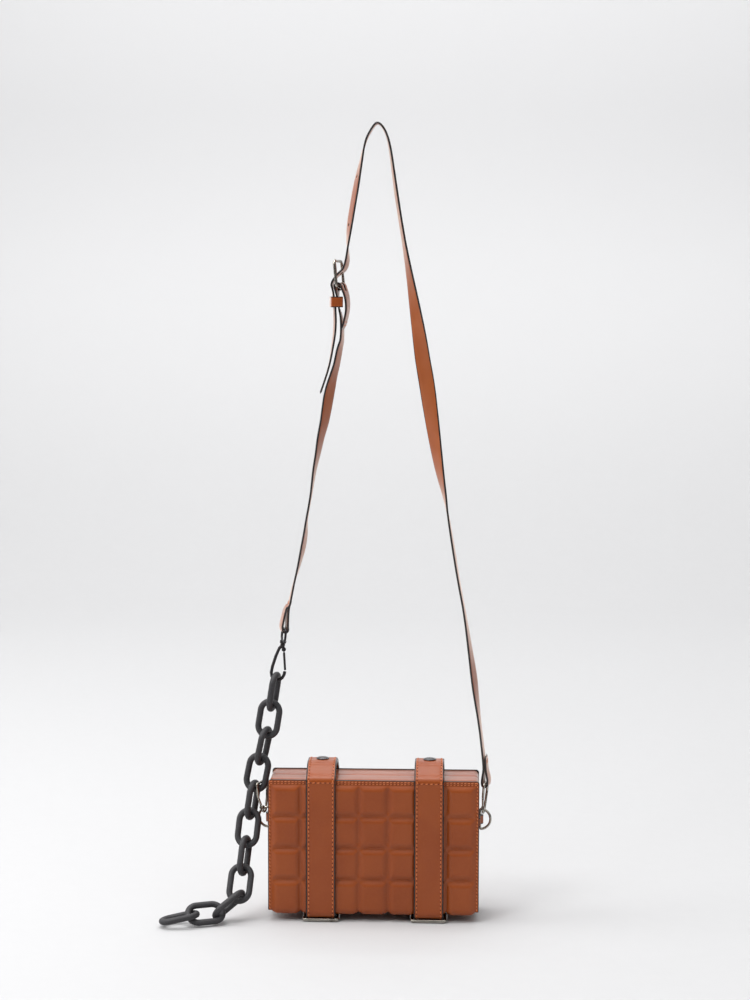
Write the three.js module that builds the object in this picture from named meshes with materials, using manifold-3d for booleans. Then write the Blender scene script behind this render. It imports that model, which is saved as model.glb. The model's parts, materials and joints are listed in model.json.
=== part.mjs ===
// A small box bag of quilted leather, hanging by its shoulder strap, with a chain clipped to one side.
// Millimetres, +Z up, +X to the right of the front, +Y to the back.
// The pieces are placed in the case's own frame, whose origin is under the middle of the case.
// The last lines move them all so that the origin is where the strap hangs, under its highest point.
import * as THREE from 'three';
import Module from 'manifold-3d';
import { mergeVertices } from 'three/addons/utils/BufferGeometryUtils.js';

// The case
const caseWidth = 200;
const caseHeight = 128.3;
const caseDepth = 55;
const panelCorner = 3;
const rim = 0.6; // how far the two panels stand past the walls between them
const wallCorner = 4.5;
const shellWall = 2;
const fitGap = 0.3; // between pieces that touch
const shellGap = 0.6; // between the shells and the cover, whose bends they clear

// The quilted leather on the front, the back and round the lower edges
const coverWall = 1.6;
const coverBend = 3;
const coverLift = 1.7; // of the flat leather underneath, above the lowest corners
const quiltColumns = 7;
const quiltRows = 4;
const quiltSideMargin = 3.3;
const quiltTopMargin = 4.6;
const pillowHeight = 3;
const pillowSlope = 8;
const quiltWrap = 12; // how far the lowest pillows reach under the case

// The two belts round the case, their snaps and the rings that they run through
const beltWidth = 28;
const beltThick = 2.2;
const beltSpread = 51.4;
const beltShift = 1.2;
const beltRise = 14.6; // of the arch over the top of the case
const beltLap = 14; // how far the upper end reaches past the middle
const beltBend = 5.5; // round the lower edges
const snapRadius = 6.2;
const snapHole = 2.4;
const footWire = 3.5;
const footDepth = 19;
const footCorner = 4;
const footTilt = 3; // how much higher the inner bar of a ring lies

// The rings at the sides and their leather tabs
const dRadius = 11.2;
const dWire = 2.7;
const dHeight = 86.3;
const tabThick = 1.5;
const tabWidth = 8.8;
const tabReach = 15;

// The chain
const linkLength = 39.2;
const linkWidth = 25;
const linkWire = 6;
const linkPlay = 0.5;

// The shoulder strap
const strapWidth = 15;
const strapThick = 1.9;
const strapTop = 743.2; // inner side of the strap's highest point, above the case's lowest corners
const strapTopShift = 1.3;
const strapLoop = 2.6; // middle radius of a folded end
const strapHole = 1.4;
const keeperWidth = 10;
const keeperThick = 1.5;
const keeperReach = 5.625; // from the middle of its plies to its ends

// The buckle
const buckleWire = 2.8;
const buckleLength = 24.2; // between the middles of its two bars
const prongWire = 2;

// The spring clips on the D rings and the swivel hook on the strap
const clipWire = 2.6;
const clipPlay = 3.1; // beside the strap in a clip's wide top
const clipWidth = strapWidth + 2 * clipPlay;
const clipHeight = 29; // between the middles of its top and its foot
const hookWire = 3.2;
const hookReach = 47.9; // from where the chain hangs in the hook to the bar of its eye
const gateWire = 2.3;
const pinRadius = 0.55;

const wasm = await Module();
wasm.setup();

const point = (x, y, z) => new THREE.Vector3(x, y, z);
const flat = (x, y) => new THREE.Vector2(x, y);
const radians = THREE.MathUtils.degToRad;
const alongX = point(1, 0, 0);
const alongY = point(0, 1, 0);

// A curve of straight pieces through chosen stations. A band's width lies along its own sideways vectors.
class Route extends THREE.Curve {
	constructor(stations, { closed = false, sideways = null } = {}) {
		super();
		Object.assign(this, { stations, closed, sideways });
		this.spans = closed ? stations.length : stations.length - 1;
	}

	station(index) {
		const count = this.stations.length;
		return this.stations[this.closed ? (index + count) % count : THREE.MathUtils.clamp(index, 0, count - 1)];
	}

	getPoint(share, target = point(0, 0, 0)) {
		const place = share * this.spans;
		const index = Math.min(Math.floor(place), this.spans - 1);
		return target.lerpVectors(this.station(index), this.station(index + 1), place - index);
	}

	getPointAt(share, target) {
		return this.getPoint(share, target);
	}

	getTangentAt(share, target = point(0, 0, 0)) {
		const index = Math.round(share * this.spans);
		const before = this.station(index).clone().sub(this.station(index - 1)).normalize();
		const after = this.station(index + 1).clone().sub(this.station(index)).normalize();
		return target.copy(before).add(after).normalize();
	}

	computeFrenetFrames(segments, closed) {
		if (!this.sideways) return super.computeFrenetFrames(segments, closed);
		const tangents = this.stations.map((_, index) => this.getTangentAt(index / this.spans));
		const binormals = this.sideways.map((side, index) =>
			side.clone().addScaledVector(tangents[index], -side.dot(tangents[index])).normalize());
		const normals = binormals.map((side, index) => side.clone().cross(tangents[index]));
		return { tangents, normals, binormals };
	}
}

// Shapes

function polygon(radius, sides) {
	const corner = (_, index) => {
		const angle = (index + 0.5) * 2 * Math.PI / sides;
		return flat(radius * Math.cos(angle), radius * Math.sin(angle));
	};
	return new THREE.Shape(Array.from({ length: sides }, corner));
}

function roundedRectangle(left, low, right, high, lowRadius, highRadius = lowRadius) {
	const shape = new THREE.Shape();
	shape.absarc(right - lowRadius, low + lowRadius, lowRadius, -Math.PI / 2, 0);
	shape.absarc(right - highRadius, high - highRadius, highRadius, 0, Math.PI / 2);
	shape.absarc(left + highRadius, high - highRadius, highRadius, Math.PI / 2, Math.PI);
	shape.absarc(left + lowRadius, low + lowRadius, lowRadius, Math.PI, 1.5 * Math.PI);
	return shape;
}

const wire = (stations, diameter, sides = 6) => new THREE.ExtrudeGeometry(polygon(diameter / 2, sides), {
	steps: stations.length - 1,
	extrudePath: new Route(stations),
});

const closedWire = (stations, diameter, sides = 6) =>
	new THREE.TubeGeometry(new Route(stations, { closed: true }), stations.length, diameter / 2, sides, true);

function band(stations, sideways, width, thick) {
	const half = [thick / 2, width / 2];
	const section = new THREE.Shape([
		flat(-half[0], -half[1]), flat(half[0], -half[1]), flat(half[0], half[1]), flat(-half[0], half[1]),
	]);
	return new THREE.ExtrudeGeometry(section, {
		steps: stations.length - 1,
		extrudePath: new Route(stations, { sideways }),
	});
}

// A rod between two places
const rod = (from, to, radius, sides = 8) => wire([from, to], 2 * radius, sides);

// Solids

function solid(geometry) {
	const bare = geometry.clone();
	bare.deleteAttribute('normal');
	bare.deleteAttribute('uv');
	const merged = mergeVertices(bare, 1e-3);
	return new wasm.Manifold(new wasm.Mesh({
		numProp: 3,
		vertProperties: merged.attributes.position.array,
		triVerts: new Uint32Array(merged.index.array),
	}));
}

function geometryOf(made) {
	const { vertProperties, triVerts } = made.getMesh();
	return new THREE.BufferGeometry()
		.setAttribute('position', new THREE.BufferAttribute(vertProperties, 3))
		.setIndex(new THREE.BufferAttribute(triVerts, 1));
}

const join = (...pieces) => geometryOf(pieces.map(solid).reduce((whole, piece) => whole.add(piece)));
const cut = (piece, ...tools) =>
	geometryOf(tools.map(solid).reduce((left, tool) => left.subtract(tool), solid(piece)));
const common = (first, second) => geometryOf(solid(first).intersect(solid(second)));

// Finishes

const finish = (color, roughness, metalness = 0) =>
	new THREE.MeshStandardMaterial({ color, roughness, metalness });
const cognac = finish(0x8f4b2b, 0.45);
const cognacLight = finish(0xb98363, 0.5);
const blackPlastic = finish(0x2b2a2d, 0.6);
const gunmetal = finish(0x3a3a3c, 0.3, 0.9);
const nickel = finish(0xb9b6b0, 0.2, 1);

const bag = new THREE.Group();

function place(name, geometry, material) {
	const mesh = new THREE.Mesh(geometry, material);
	mesh.name = name;
	bag.add(mesh);
	return mesh;
}

const mirrored = (geometry) => geometryOf(solid(geometry).mirror([0, 1, 0]));

// The case: two stiff trays that meet in the middle, open towards each other

const halfWidth = caseWidth / 2;
const halfDepth = caseDepth / 2;
const coverInside = halfDepth - coverWall;

function slab(shape, from, to) {
	const across = new THREE.ExtrudeGeometry(shape, {
		depth: to - from,
		bevelEnabled: false,
		curveSegments: 3,
	});
	return across.rotateX(Math.PI / 2).translate(0, to, 0);
}

function frontTray() {
	const low = coverLift + coverWall + shellGap;
	const [side, high, front] = [halfWidth - rim, caseHeight - rim, -coverInside + shellGap];
	const inner = wallCorner - shellWall;
	const outside = roundedRectangle(-side, low, side, high, wallCorner);
	const hollow = roundedRectangle(
		-side + shellWall, low + shellWall, side - shellWall, high - shellWall, inner);
	return cut(slab(outside, front, -fitGap / 2), slab(hollow, front + shellWall, 1));
}

// The cover: one sheet down the front, under the case and up the back, with pillows pressed into it

const arc = coverBend * Math.PI / 2;
const faceLength = caseHeight - coverLift - coverBend;
const baseLength = caseDepth - 2 * coverBend;
const coverLength = 2 * (faceLength + arc) + baseLength;

// Place and outward direction on the sheet, by the way along it from its front top edge
function onCover(way) {
	const back = way > coverLength / 2;
	const along = back ? coverLength - way : way;
	const side = back ? -1 : 1;
	if (along <= faceLength) return { y: -side * halfDepth, z: caseHeight - along, out: [-side, 0] };
	const turn = Math.min((along - faceLength) / coverBend, Math.PI / 2);
	const past = Math.max(along - faceLength - arc, 0);
	return {
		y: -side * (halfDepth - coverBend + coverBend * Math.cos(turn) - past),
		z: coverLift + coverBend - coverBend * Math.sin(turn),
		out: [-side * Math.cos(turn), -Math.sin(turn)],
	};
}

function pillowLines() {
	const rowPitch = (faceLength + coverBend - quiltTopMargin) / quiltRows;
	const rowEdges = Array.from({ length: quiltRows }, (_, row) => quiltTopMargin + row * rowPitch);
	rowEdges.push(faceLength + arc + quiltWrap - coverBend);
	const bends = [faceLength, faceLength + arc / 2, faceLength + arc].map((way) => ({ way, height: 1 }));
	const front = [{ way: 0, height: 0 }, { way: rowEdges[0], height: 0 }];
	for (let row = 0; row < quiltRows; row++) {
		front.push({ way: rowEdges[row] + pillowSlope, height: 1 });
		if (row === quiltRows - 1) front.push(...bends);
		front.push({ way: rowEdges[row + 1] - pillowSlope, height: 1 }, { way: rowEdges[row + 1], height: 0 });
	}
	front.sort((first, second) => first.way - second.way);
	return [...front, ...front.toReversed().map(({ way, height }) => ({ way: coverLength - way, height }))];
}

function columnLines() {
	const pitch = (caseWidth - 2 * quiltSideMargin) / quiltColumns;
	const lines = [{ x: -halfWidth, height: 0 }];
	for (let column = 0; column < quiltColumns; column++) {
		const left = -halfWidth + quiltSideMargin + column * pitch;
		lines.push({ x: left, height: 0 }, { x: left + pillowSlope, height: 1 });
		lines.push({ x: left + pitch - pillowSlope, height: 1 });
	}
	lines.push({ x: halfWidth - quiltSideMargin, height: 0 }, { x: halfWidth, height: 0 });
	return lines;
}

function quiltedSheet() {
	const rows = pillowLines();
	const columns = columnLines();
	const positions = [];
	const faces = [];
	const layer = (offset) => {
		for (const { way, height } of rows) {
			const { y, z, out } = onCover(way);
			for (const column of columns) {
				const lift = offset + (offset < 0 ? 0 : pillowHeight * height * column.height);
				positions.push(column.x, y + out[0] * lift, z + out[1] * lift);
			}
		}
	};
	layer(0);
	layer(-coverWall);
	const wide = columns.length;
	const inside = rows.length * wide;
	const quad = (a, b, c, d) => faces.push(a, b, c, a, c, d);
	for (let row = 0; row < rows.length - 1; row++) {
		for (let column = 0; column < wide - 1; column++) {
			const [a, b] = [row * wide + column, row * wide + column + 1];
			quad(a, a + wide, b + wide, b);
			quad(inside + a, inside + b, inside + b + wide, inside + a + wide);
		}
		const [left, right] = [row * wide, row * wide + wide - 1];
		quad(left, inside + left, inside + left + wide, left + wide);
		quad(right, right + wide, inside + right + wide, inside + right);
	}
	const last = (rows.length - 1) * wide;
	for (let column = 0; column < wide - 1; column++) {
		quad(column, column + 1, inside + column + 1, inside + column);
		quad(last + column, inside + last + column, inside + last + column + 1, last + column + 1);
	}
	const sheet = new THREE.BufferGeometry();
	sheet.setAttribute('position', new THREE.Float32BufferAttribute(positions, 3));
	sheet.setIndex(faces);
	return sheet;
}

function quiltCover() {
	const low = coverLift - pillowHeight - 1;
	const outline = roundedRectangle(-halfWidth, low, halfWidth, caseHeight, panelCorner + 4, panelCorner);
	const reach = halfDepth + pillowHeight + 1;
	return common(quiltedSheet(), slab(outline, -reach, reach));
}

place('front_shell', frontTray(), cognacLight);
place('back_shell', mirrored(frontTray()), cognacLight);
place('quilt_cover', quiltCover(), cognac);

// The belts: each one strip, over the top, down the back, through both rings underneath and up the front

const beltFace = halfDepth + pillowHeight + fitGap + beltThick / 2;
const beltUnder = coverLift - pillowHeight - fitGap - beltThick / 2;
const footWide = beltWidth + 2 * (footWire + fitGap);
const footFront = { y: -(halfDepth + pillowHeight), z: beltUnder - beltThick / 2 - fitGap - footWire / 2 };
const footBack = { y: footFront.y + footDepth - footWire, z: footFront.z + footTilt };
const underBar = (footWire + beltThick) / 2 + fitGap;

// Half of the arch over the top, from the face of the case to the middle, as shares of the belt's rise
const archProfile = [
	{ inward: 0, up: -0.2 },
	{ inward: 0.01, up: 0.05 },
	{ inward: 0.075, up: 0.2 },
	{ inward: 0.18, up: 0.3 },
	{ inward: 0.3, up: 0.47 },
	{ inward: 0.42, up: 0.68 },
	{ inward: 0.56, up: 0.84 },
	{ inward: 0.78, up: 0.93 },
	{ inward: 1, up: 0.93 },
];

// The bend from the face to the underside, as shares of the belt's bend
const lowBend = [
	{ inward: 0, up: 1 },
	{ inward: 0.16, up: 0.4 },
	{ inward: 0.55, up: 0.05 },
	{ inward: 1.13, up: 0 },
];

// The dip under a ring's inner bar, as shares of the ring's depth
const ringDip = [
	{ inward: -0.34, up: 0.075 },
	{ inward: -0.16, up: 0 },
	{ inward: 0.08, up: 0.005 },
	{ inward: 0.32, up: 0.17 },
];

function beltRoute() {
	const arch = archProfile.map(({ inward, up }) => ({
		y: -beltFace * (1 - inward),
		z: caseHeight + beltRise * up,
	}));
	const ply = beltThick + fitGap;
	const lapped = arch.filter(({ y }) => Math.abs(y) <= beltLap + 1);
	const ends = arch.filter(({ y }) => Math.abs(y) > beltLap + 1);
	const lowSide = [
		{ y: -beltFace, z: caseHeight / 2 },
		...lowBend.map(({ inward, up }) => ({ y: -beltFace + beltBend * inward, z: beltUnder + beltBend * up })),
		...ringDip.map(({ inward, up }) => ({
			y: footBack.y + footDepth * inward,
			z: footBack.z - underBar + footDepth * up,
		})),
		{ y: footBack.y + footDepth / 2, z: coverLift - 2 * fitGap - beltThick / 2 },
	];
	const flip = ({ y, z }) => ({ y: -y, z });
	const lower = ({ y, z }) => ({ y, z: z - ply });
	const under = [...lapped, ...lapped.slice(0, -1).toReversed().map(flip)].map(lower);
	const over = [...lapped, ...lapped.slice(0, -1).toReversed().map(flip)];
	return [
		...under,
		...ends.toReversed().map(flip),
		...lowSide.map(flip),
		...lowSide.toReversed(),
		...ends,
		...over,
	];
}

function belt(x) {
	const stations = beltRoute().map(({ y, z }) => point(x, y, z));
	const strip = band(stations, stations.map(() => alongX), beltWidth, beltThick);
	const top = caseHeight + beltRise;
	return cut(strip, rod(point(x, 0, caseHeight + 1), point(x, 0, top + 1), snapHole, 10));
}

// A snap: a domed cap, a post through both plies and a socket underneath, as one turned piece
function snap(x) {
	const top = caseHeight + beltRise * 0.93 + beltThick / 2 + fitGap;
	const below = top - 2 * beltThick - 3 * fitGap;
	const post = snapHole - fitGap - 0.2;
	const profile = [
		flat(0, below - 1.6), flat(5, below - 1.6), flat(5, below), flat(post, below), flat(post, top),
		flat(snapRadius, top), flat(snapRadius, top + 0.7), flat(snapRadius * 0.7, top + 1.5), flat(0, top + 1.9),
	];
	return new THREE.LatheGeometry(profile, 12).rotateX(Math.PI / 2).translate(x, 0, 0);
}

// A flat rectangular ring under the edge of the case: its outer bar is the foot that the bag stands on
function footRing(x) {
	const [wide, deep] = [footWide - footWire, footDepth - footWire];
	const radius = footCorner - footWire / 2;
	const outline = roundedRectangle(-wide / 2, 0, wide / 2, deep, radius).getPoints(2);
	const centre = outline.slice(0, -1).map((at) =>
		point(x + at.x, footFront.y + at.y, footFront.z + footTilt * at.y / deep));
	return closedWire(centre, footWire, 8);
}

for (const [side, x] of [['left', beltShift + 0.6 - beltSpread], ['right', beltShift + beltSpread]]) {
	place(`belt_${side}`, belt(x), cognac);
	place(`snap_${side}`, snap(x), gunmetal);
	place(`foot_ring_${side}_front`, footRing(x), nickel);
	place(`foot_ring_${side}_back`, mirrored(footRing(x)), nickel);
}

// The D rings, with their straight side held flat on the case's side by a leather tab

const wallX = halfWidth - rim;
const dBarX = wallX + fitGap + dWire / 2;
const dMiddle = dRadius - dWire / 2;

function dRing(side) {
	const outline = new THREE.Path();
	outline.absarc(0, 0, dMiddle, radians(-78), radians(78));
	const round = outline.getPoints(12);
	const corner = dMiddle * 0.86;
	const shoulder = flat(0.5, dMiddle * 0.96);
	const centre = [...round, shoulder, flat(0, corner), flat(0, -corner), flat(shoulder.x, -shoulder.y)];
	return closedWire(centre.map((at) => point(side * (dBarX + at.x), 0, dHeight + at.y)), dWire);
}

function ringTab(side) {
	const hump = dWire / 2 + fitGap + tabThick;
	const base = wallX + fitGap;
	const shape = new THREE.Shape();
	shape.moveTo(base, -tabReach);
	shape.lineTo(base + tabThick, -tabReach);
	shape.lineTo(base + tabThick, -hump - 1.5);
	shape.absarc(dBarX, 0, hump, -Math.PI / 3, Math.PI / 3);
	shape.lineTo(base + tabThick, hump + 1.5);
	shape.lineTo(base + tabThick, tabReach);
	shape.lineTo(base, tabReach);
	const tab = new THREE.ExtrudeGeometry(shape, { depth: tabWidth, bevelEnabled: false, curveSegments: 5 });
	tab.translate(0, 0, dHeight - tabWidth / 2);
	const ends = [dHeight - tabWidth, dHeight + tabWidth].map((z) => point(dBarX, 0, z));
	const bored = cut(tab, rod(...ends, dWire / 2 + fitGap, 12));
	return side > 0 ? bored : geometryOf(solid(bored).mirror([1, 0, 0]));
}

for (const [name, side] of [['left', -1], ['right', 1]]) {
	place(`ring_tab_${name}`, ringTab(side), cognac);
	place(`d_ring_${name}`, dRing(side), nickel);
}

// A frame and the gate that closes it. The gate's round heel turns on a pin between two cheeks of the frame.
function gatedPair({ path, pivot, tip, diameter, knuckle, across, extras = [] }) {
	const heel = 1;
	const cheek = 0.9;
	const slot = heel / 2 + fitGap;
	const at = (offset) => pivot.clone().addScaledVector(across, offset);
	const wide = slot + cheek;
	const toTip = tip.clone().sub(pivot).normalize();
	const body = join(wire(path, diameter, 8), rod(at(-wide), at(wide), knuckle, 10), ...extras);
	const run = rod(pivot, tip.clone().addScaledVector(toTip, fitGap), gateWire / 2 + fitGap);
	const hollow = cut(body, rod(at(-slot), at(slot), knuckle + 0.25, 10), run);
	const frame = join(hollow, rod(at(-wide + 0.2), at(wide - 0.2), pinRadius, 8));
	const bar = join(
		rod(at(-heel / 2), at(heel / 2), knuckle - 0.3, 10),
		wire([pivot.clone().addScaledVector(toTip, knuckle - 0.6), tip], heel, 8),
		wire([pivot.clone().addScaledVector(toTip, knuckle + 0.8), tip], gateWire, 8),
	);
	return { frame, gate: cut(bar, rod(at(-heel), at(heel), pinRadius + fitGap, 10)) };
}

// A spring clip: a wide top, legs that run together and a narrow foot round the D ring.
// Its own frame has u across and w up from the middle of its foot's wire.
const clipOutline = [
	{ across: -0.415, up: 0.535 },
	{ across: -0.44, up: 0.68 },
	{ across: -0.445, up: 0.86 },
	{ across: -0.432, up: 0.965 },
	{ across: -0.39, up: 1 },
	{ across: 0, up: 1 },
	{ across: 0.39, up: 1 },
	{ across: 0.432, up: 0.965 },
	{ across: 0.445, up: 0.86 },
	{ across: 0.44, up: 0.68 },
	{ across: 0.36, up: 0.42 },
	{ across: 0.2, up: 0.14 },
	{ across: 0.13, up: 0.03 },
	{ across: 0, up: 0 },
	{ across: -0.11, up: 0.03 },
	{ across: -0.17, up: 0.13 },
];
const clipPivot = { across: -0.19, up: 0.18 };
const clipTip = { across: -0.405, up: 0.515 };

function clip(name, foot, top, turn) {
	const up = top.clone().sub(foot).normalize();
	const flatSide = point(Math.cos(radians(turn)), Math.sin(radians(turn)), 0);
	const side = flatSide.addScaledVector(up, -flatSide.dot(up)).normalize();
	const across = side.clone().cross(up).normalize();
	const at = (spot) => foot.clone()
		.addScaledVector(side, spot.across * clipWidth)
		.addScaledVector(up, spot.up * clipHeight);
	const { frame, gate } = gatedPair({
		path: clipOutline.map(at), pivot: at(clipPivot), tip: at(clipTip),
		diameter: clipWire, knuckle: 1.9, across,
	});
	place(`${name}_frame`, frame, nickel);
	place(`${name}_gate`, gate, nickel);
	return { pivot: at(clipPivot), across };
}

// Where a clip's foot hangs on a D ring, by the angle round the ring from its outer end
function clipFoot(side, angle, drop = 0) {
	const [out, up] = [dMiddle * Math.cos(radians(angle)), dMiddle * Math.sin(radians(angle))];
	const onRing = point(side * (dBarX + out), 0, dHeight + up);
	return onRing.add(point(0, 0, -(dWire + clipWire) / 2 - fitGap - drop));
}

const leanedUp = (lean) => point(Math.sin(radians(lean)), 0, Math.cos(radians(lean)));

// The chain: each link's lean to the left and forward, its turn about its own length, and how far it has
// slipped inwards at its upper end, where it lies across its neighbour.
// The links above the clip run up to the hook; those below hang and lie down on the surface.
const linkTable = [
	{ lean: 9, forward: 0, turn: 78 },
	{ lean: 10.5, forward: 0, turn: -16 },
	{ lean: 12.5, forward: 0, turn: 72 },
	{ lean: 12.5, forward: 1, turn: -16 },
	{ lean: 8.5, forward: 9, turn: 74 },
	{ lean: 7, forward: 15, turn: -14 },
	{ lean: 6.5, forward: 20, turn: 76 },
	{ lean: 7, forward: 24, turn: -4 },
	{ lean: 53, forward: 24, turn: -85, ease: 1 },
	{ lean: 90, forward: 20, turn: 42, ease: 0.6 },
	{ lean: 80, forward: 13, turn: -4, ease: 0.8 },
];
const clippedLink = 3;

function linkAxes({ lean, forward, turn, ease }) {
	const down = point(-Math.sin(radians(lean)), 0, -Math.cos(radians(lean)));
	down.y = -Math.tan(radians(forward));
	down.normalize();
	const flatSide = Math.abs(down.z) > 0.4 ? alongX : alongY;
	const side = flatSide.clone().addScaledVector(down, -flatSide.dot(down)).normalize();
	if (flatSide === alongY) side.negate();
	return { down, side: side.applyAxisAngle(down, -radians(turn)), ease };
}

// How far a joint lies inside a link's end, so that two links at an angle keep clear of each other
function jointSlack(first, second) {
	const half = first.down.angleTo(second.down) / 2;
	return (linkWire + linkPlay) / (2 * Math.cos(half)) - linkWire / 2 + (second.ease ?? 0);
}

function link({ down, side }, middle) {
	const bend = (linkWidth - linkWire) / 2;
	const straight = (linkLength - linkWidth) / 2;
	const outline = new THREE.Path();
	outline.absarc(0, straight, bend, 0, Math.PI);
	outline.absarc(0, -straight, bend, Math.PI, 2 * Math.PI);
	const centre = outline.getPoints(6).slice(0, -1);
	const stations = centre.map((at) =>
		middle.clone().addScaledVector(side, at.x).addScaledVector(down, at.y));
	return closedWire(stations, linkWire, 7);
}

const leftFoot = clipFoot(-1, 62, 0.95);
const leftTop = leftFoot.clone().addScaledVector(leanedUp(-5.5), clipHeight);
clip('clip_left', leftFoot, leftTop, 66);

const axes = linkTable.map(linkAxes);
const slacks = axes.slice(1).map((next, index) => jointSlack(axes[index], next));
slacks.unshift(linkPlay / 2);
slacks.push(linkPlay / 2);

// The clip's top lies inside the held link, just above the bend of its lower end
function heldLinkMiddle() {
	const { down, side } = axes[clippedLink];
	const inside = linkWidth / 2 - linkWire - 2 * fitGap - clipWire / 2;
	const round = radians(72);
	return leftTop.clone().add(point(-1.2, -1.6, 0))
		.addScaledVector(down, -inside * Math.cos(round) - (linkLength - linkWidth) / 2)
		.addScaledVector(side, -inside * Math.sin(round));
}

const innerHalf = linkLength / 2 - linkWire;
const joints = [];
const middles = [];
middles[clippedLink] = heldLinkMiddle();
for (let index = clippedLink; index >= 0; index--) {
	const step = innerHalf - slacks[index];
	joints[index] = middles[index].clone().addScaledVector(axes[index].down, -step);
	if (index > 0) middles[index - 1] = joints[index].clone().addScaledVector(axes[index - 1].down, -step);
}
for (let index = clippedLink + 1; index < linkTable.length; index++) {
	const step = innerHalf - slacks[index];
	joints[index] = middles[index - 1].clone().addScaledVector(axes[index - 1].down, step);
	middles[index] = joints[index].clone().addScaledVector(axes[index].down, step);
}
middles.forEach((middle, index) => place(`link_${index + 1}`, link(axes[index], middle), blackPlastic));

// The swivel hook on the short strap: the chain's first link lies in its bend

const hookLean = 9.5;
const hookUp = leanedUp(hookLean);
const hookSide = point(hookUp.z, 0, -hookUp.x);
const onHook = (across, up) => joints[0].clone()
	.addScaledVector(hookSide, across).addScaledVector(hookUp, up);

// The hook's middle line, as shares of its reach
const hookOutline = [
	{ across: 0.02, up: 0.685 },
	{ across: 0.005, up: 0.65 },
	{ across: -0.034, up: 0.604 },
	{ across: -0.075, up: 0.44 },
	{ across: -0.108, up: 0.22 },
	{ across: -0.113, up: 0.09 },
	{ across: -0.09, up: 0.015 },
	{ across: -0.045, up: -0.03 },
	{ across: 0.01, up: -0.042 },
	{ across: 0.07, up: -0.03 },
	{ across: 0.12, up: 0.02 },
	{ across: 0.147, up: 0.09 },
	{ across: 0.15, up: 0.16 },
];
const hookSpot = ({ across, up }) => onHook(across * hookReach, up * hookReach);
const hookTop = hookOutline[0].up * hookReach;

const neck = hookOutline[0].across * hookReach;

function hookPair() {
	const pivot = hookSpot({ across: 0.058, up: 0.59 });
	const shoulder = rod(hookSpot({ across: 0.015, up: 0.645 }), pivot, hookWire / 2, 8);
	const boss = rod(onHook(neck, hookTop - 2), onHook(neck, hookTop + 1), hookWire * 0.72, 10);
	const made = gatedPair({
		path: hookOutline.map(hookSpot), pivot, tip: hookSpot({ across: 0.15, up: 0.185 }),
		diameter: hookWire, knuckle: 2.1, across: alongY.clone().negate(), extras: [shoulder, boss],
	});
	const well = rod(onHook(neck, hookTop - 1), onHook(neck, hookTop + 2), 1.3, 8);
	place('hook_frame', cut(made.frame, well), gunmetal);
	place('hook_gate', made.gate, gunmetal);
}

const eyeTurn = 14;
const eyeSide = point(-Math.sin(radians(eyeTurn)), Math.cos(radians(eyeTurn)), 0);
const eyeWire = 2.4;
const leftBar = onHook(0, hookReach);

function hookSwivel() {
	const half = strapWidth / 2 + 3 * fitGap + eyeWire / 2;
	const low = hookTop + 1 + fitGap;
	const at = (across, up) =>
		onHook(neck * (hookReach - up) / (hookReach - low), up).addScaledVector(eyeSide, across);
	const collar = rod(at(0, low), at(0, low + 2.6), 3.1, 10);
	const pin = rod(onHook(neck, low - 1.8), onHook(neck, low + 1), 0.9, 8);
	const loop = closedWire([
		at(-half + 1.2, hookReach), at(half - 1.2, hookReach), at(half, hookReach - 1), at(half, low + 5),
		at(half - 3, low + 2.4), at(2, low + 1.4), at(-2, low + 1.4), at(-half + 3, low + 2.4),
		at(-half, low + 5), at(-half, hookReach - 1),
	], eyeWire, 8);
	return join(collar, pin, loop);
}

hookPair();
place('hook_swivel', hookSwivel(), gunmetal);

// The right clip holds the strap's folded end in its wide top
const rightFoot = clipFoot(1, 72, 0.3);
const rightBar = rightFoot.clone().addScaledVector(leanedUp(4.5), clipHeight);
clip('clip_right', rightFoot, rightBar, 78);

// The strap, in the plane of the case's middle. Each run is a table of shares: of the drop and the way
// sideways from its upper end to its lower one, with the turn of its width from straight back to the left.

const apex = point(strapTopShift, 0, strapTop + strapThick / 2);

const rightRun = [
	{ drop: 0.006, out: 0.046, turn: 2 },
	{ drop: 0.021, out: 0.088, turn: 4 },
	{ drop: 0.047, out: 0.12, turn: 7 },
	{ drop: 0.106, out: 0.169, turn: 11 },
	{ drop: 0.176, out: 0.237, turn: 12 },
	{ drop: 0.24, out: 0.303, turn: 28 },
	{ drop: 0.31, out: 0.371, turn: 57 },
	{ drop: 0.352, out: 0.408, turn: 74 },
	{ drop: 0.388, out: 0.445, turn: 82 },
	{ drop: 0.43, out: 0.482, turn: 66 },
	{ drop: 0.478, out: 0.524, turn: 48 },
	{ drop: 0.523, out: 0.568, turn: 30 },
	{ drop: 0.56, out: 0.612, turn: 12 },
	{ drop: 0.585, out: 0.638, turn: 1 },
	{ drop: 0.634, out: 0.687, turn: -5 },
	{ drop: 0.688, out: 0.74, turn: -4 },
	{ drop: 0.738, out: 0.796, turn: -5 },
	{ drop: 0.796, out: 0.849, turn: -13 },
	{ drop: 0.835, out: 0.883, turn: -20 },
	{ drop: 0.862, out: 0.903, turn: -17 },
	{ drop: 0.909, out: 0.94, turn: -7 },
	{ drop: 0.957, out: 0.975, turn: -8 },
];

const leftRun = [
	{ drop: 0.03, out: 0.13, turn: 0 },
	{ drop: 0.12, out: 0.31, turn: 1 },
	{ drop: 0.27, out: 0.44, turn: 11 },
	{ drop: 0.4, out: 0.54, turn: 20 },
	{ drop: 0.54, out: 0.635, turn: 21 },
	{ drop: 0.66, out: 0.71, turn: 20 },
	{ drop: 0.76, out: 0.755, turn: 12 },
	{ drop: 0.83, out: 0.772, turn: 2 },
	{ drop: 0.905, out: 0.783, turn: -10 },
	{ drop: 0.965, out: 0.85, turn: -13 },
];

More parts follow.
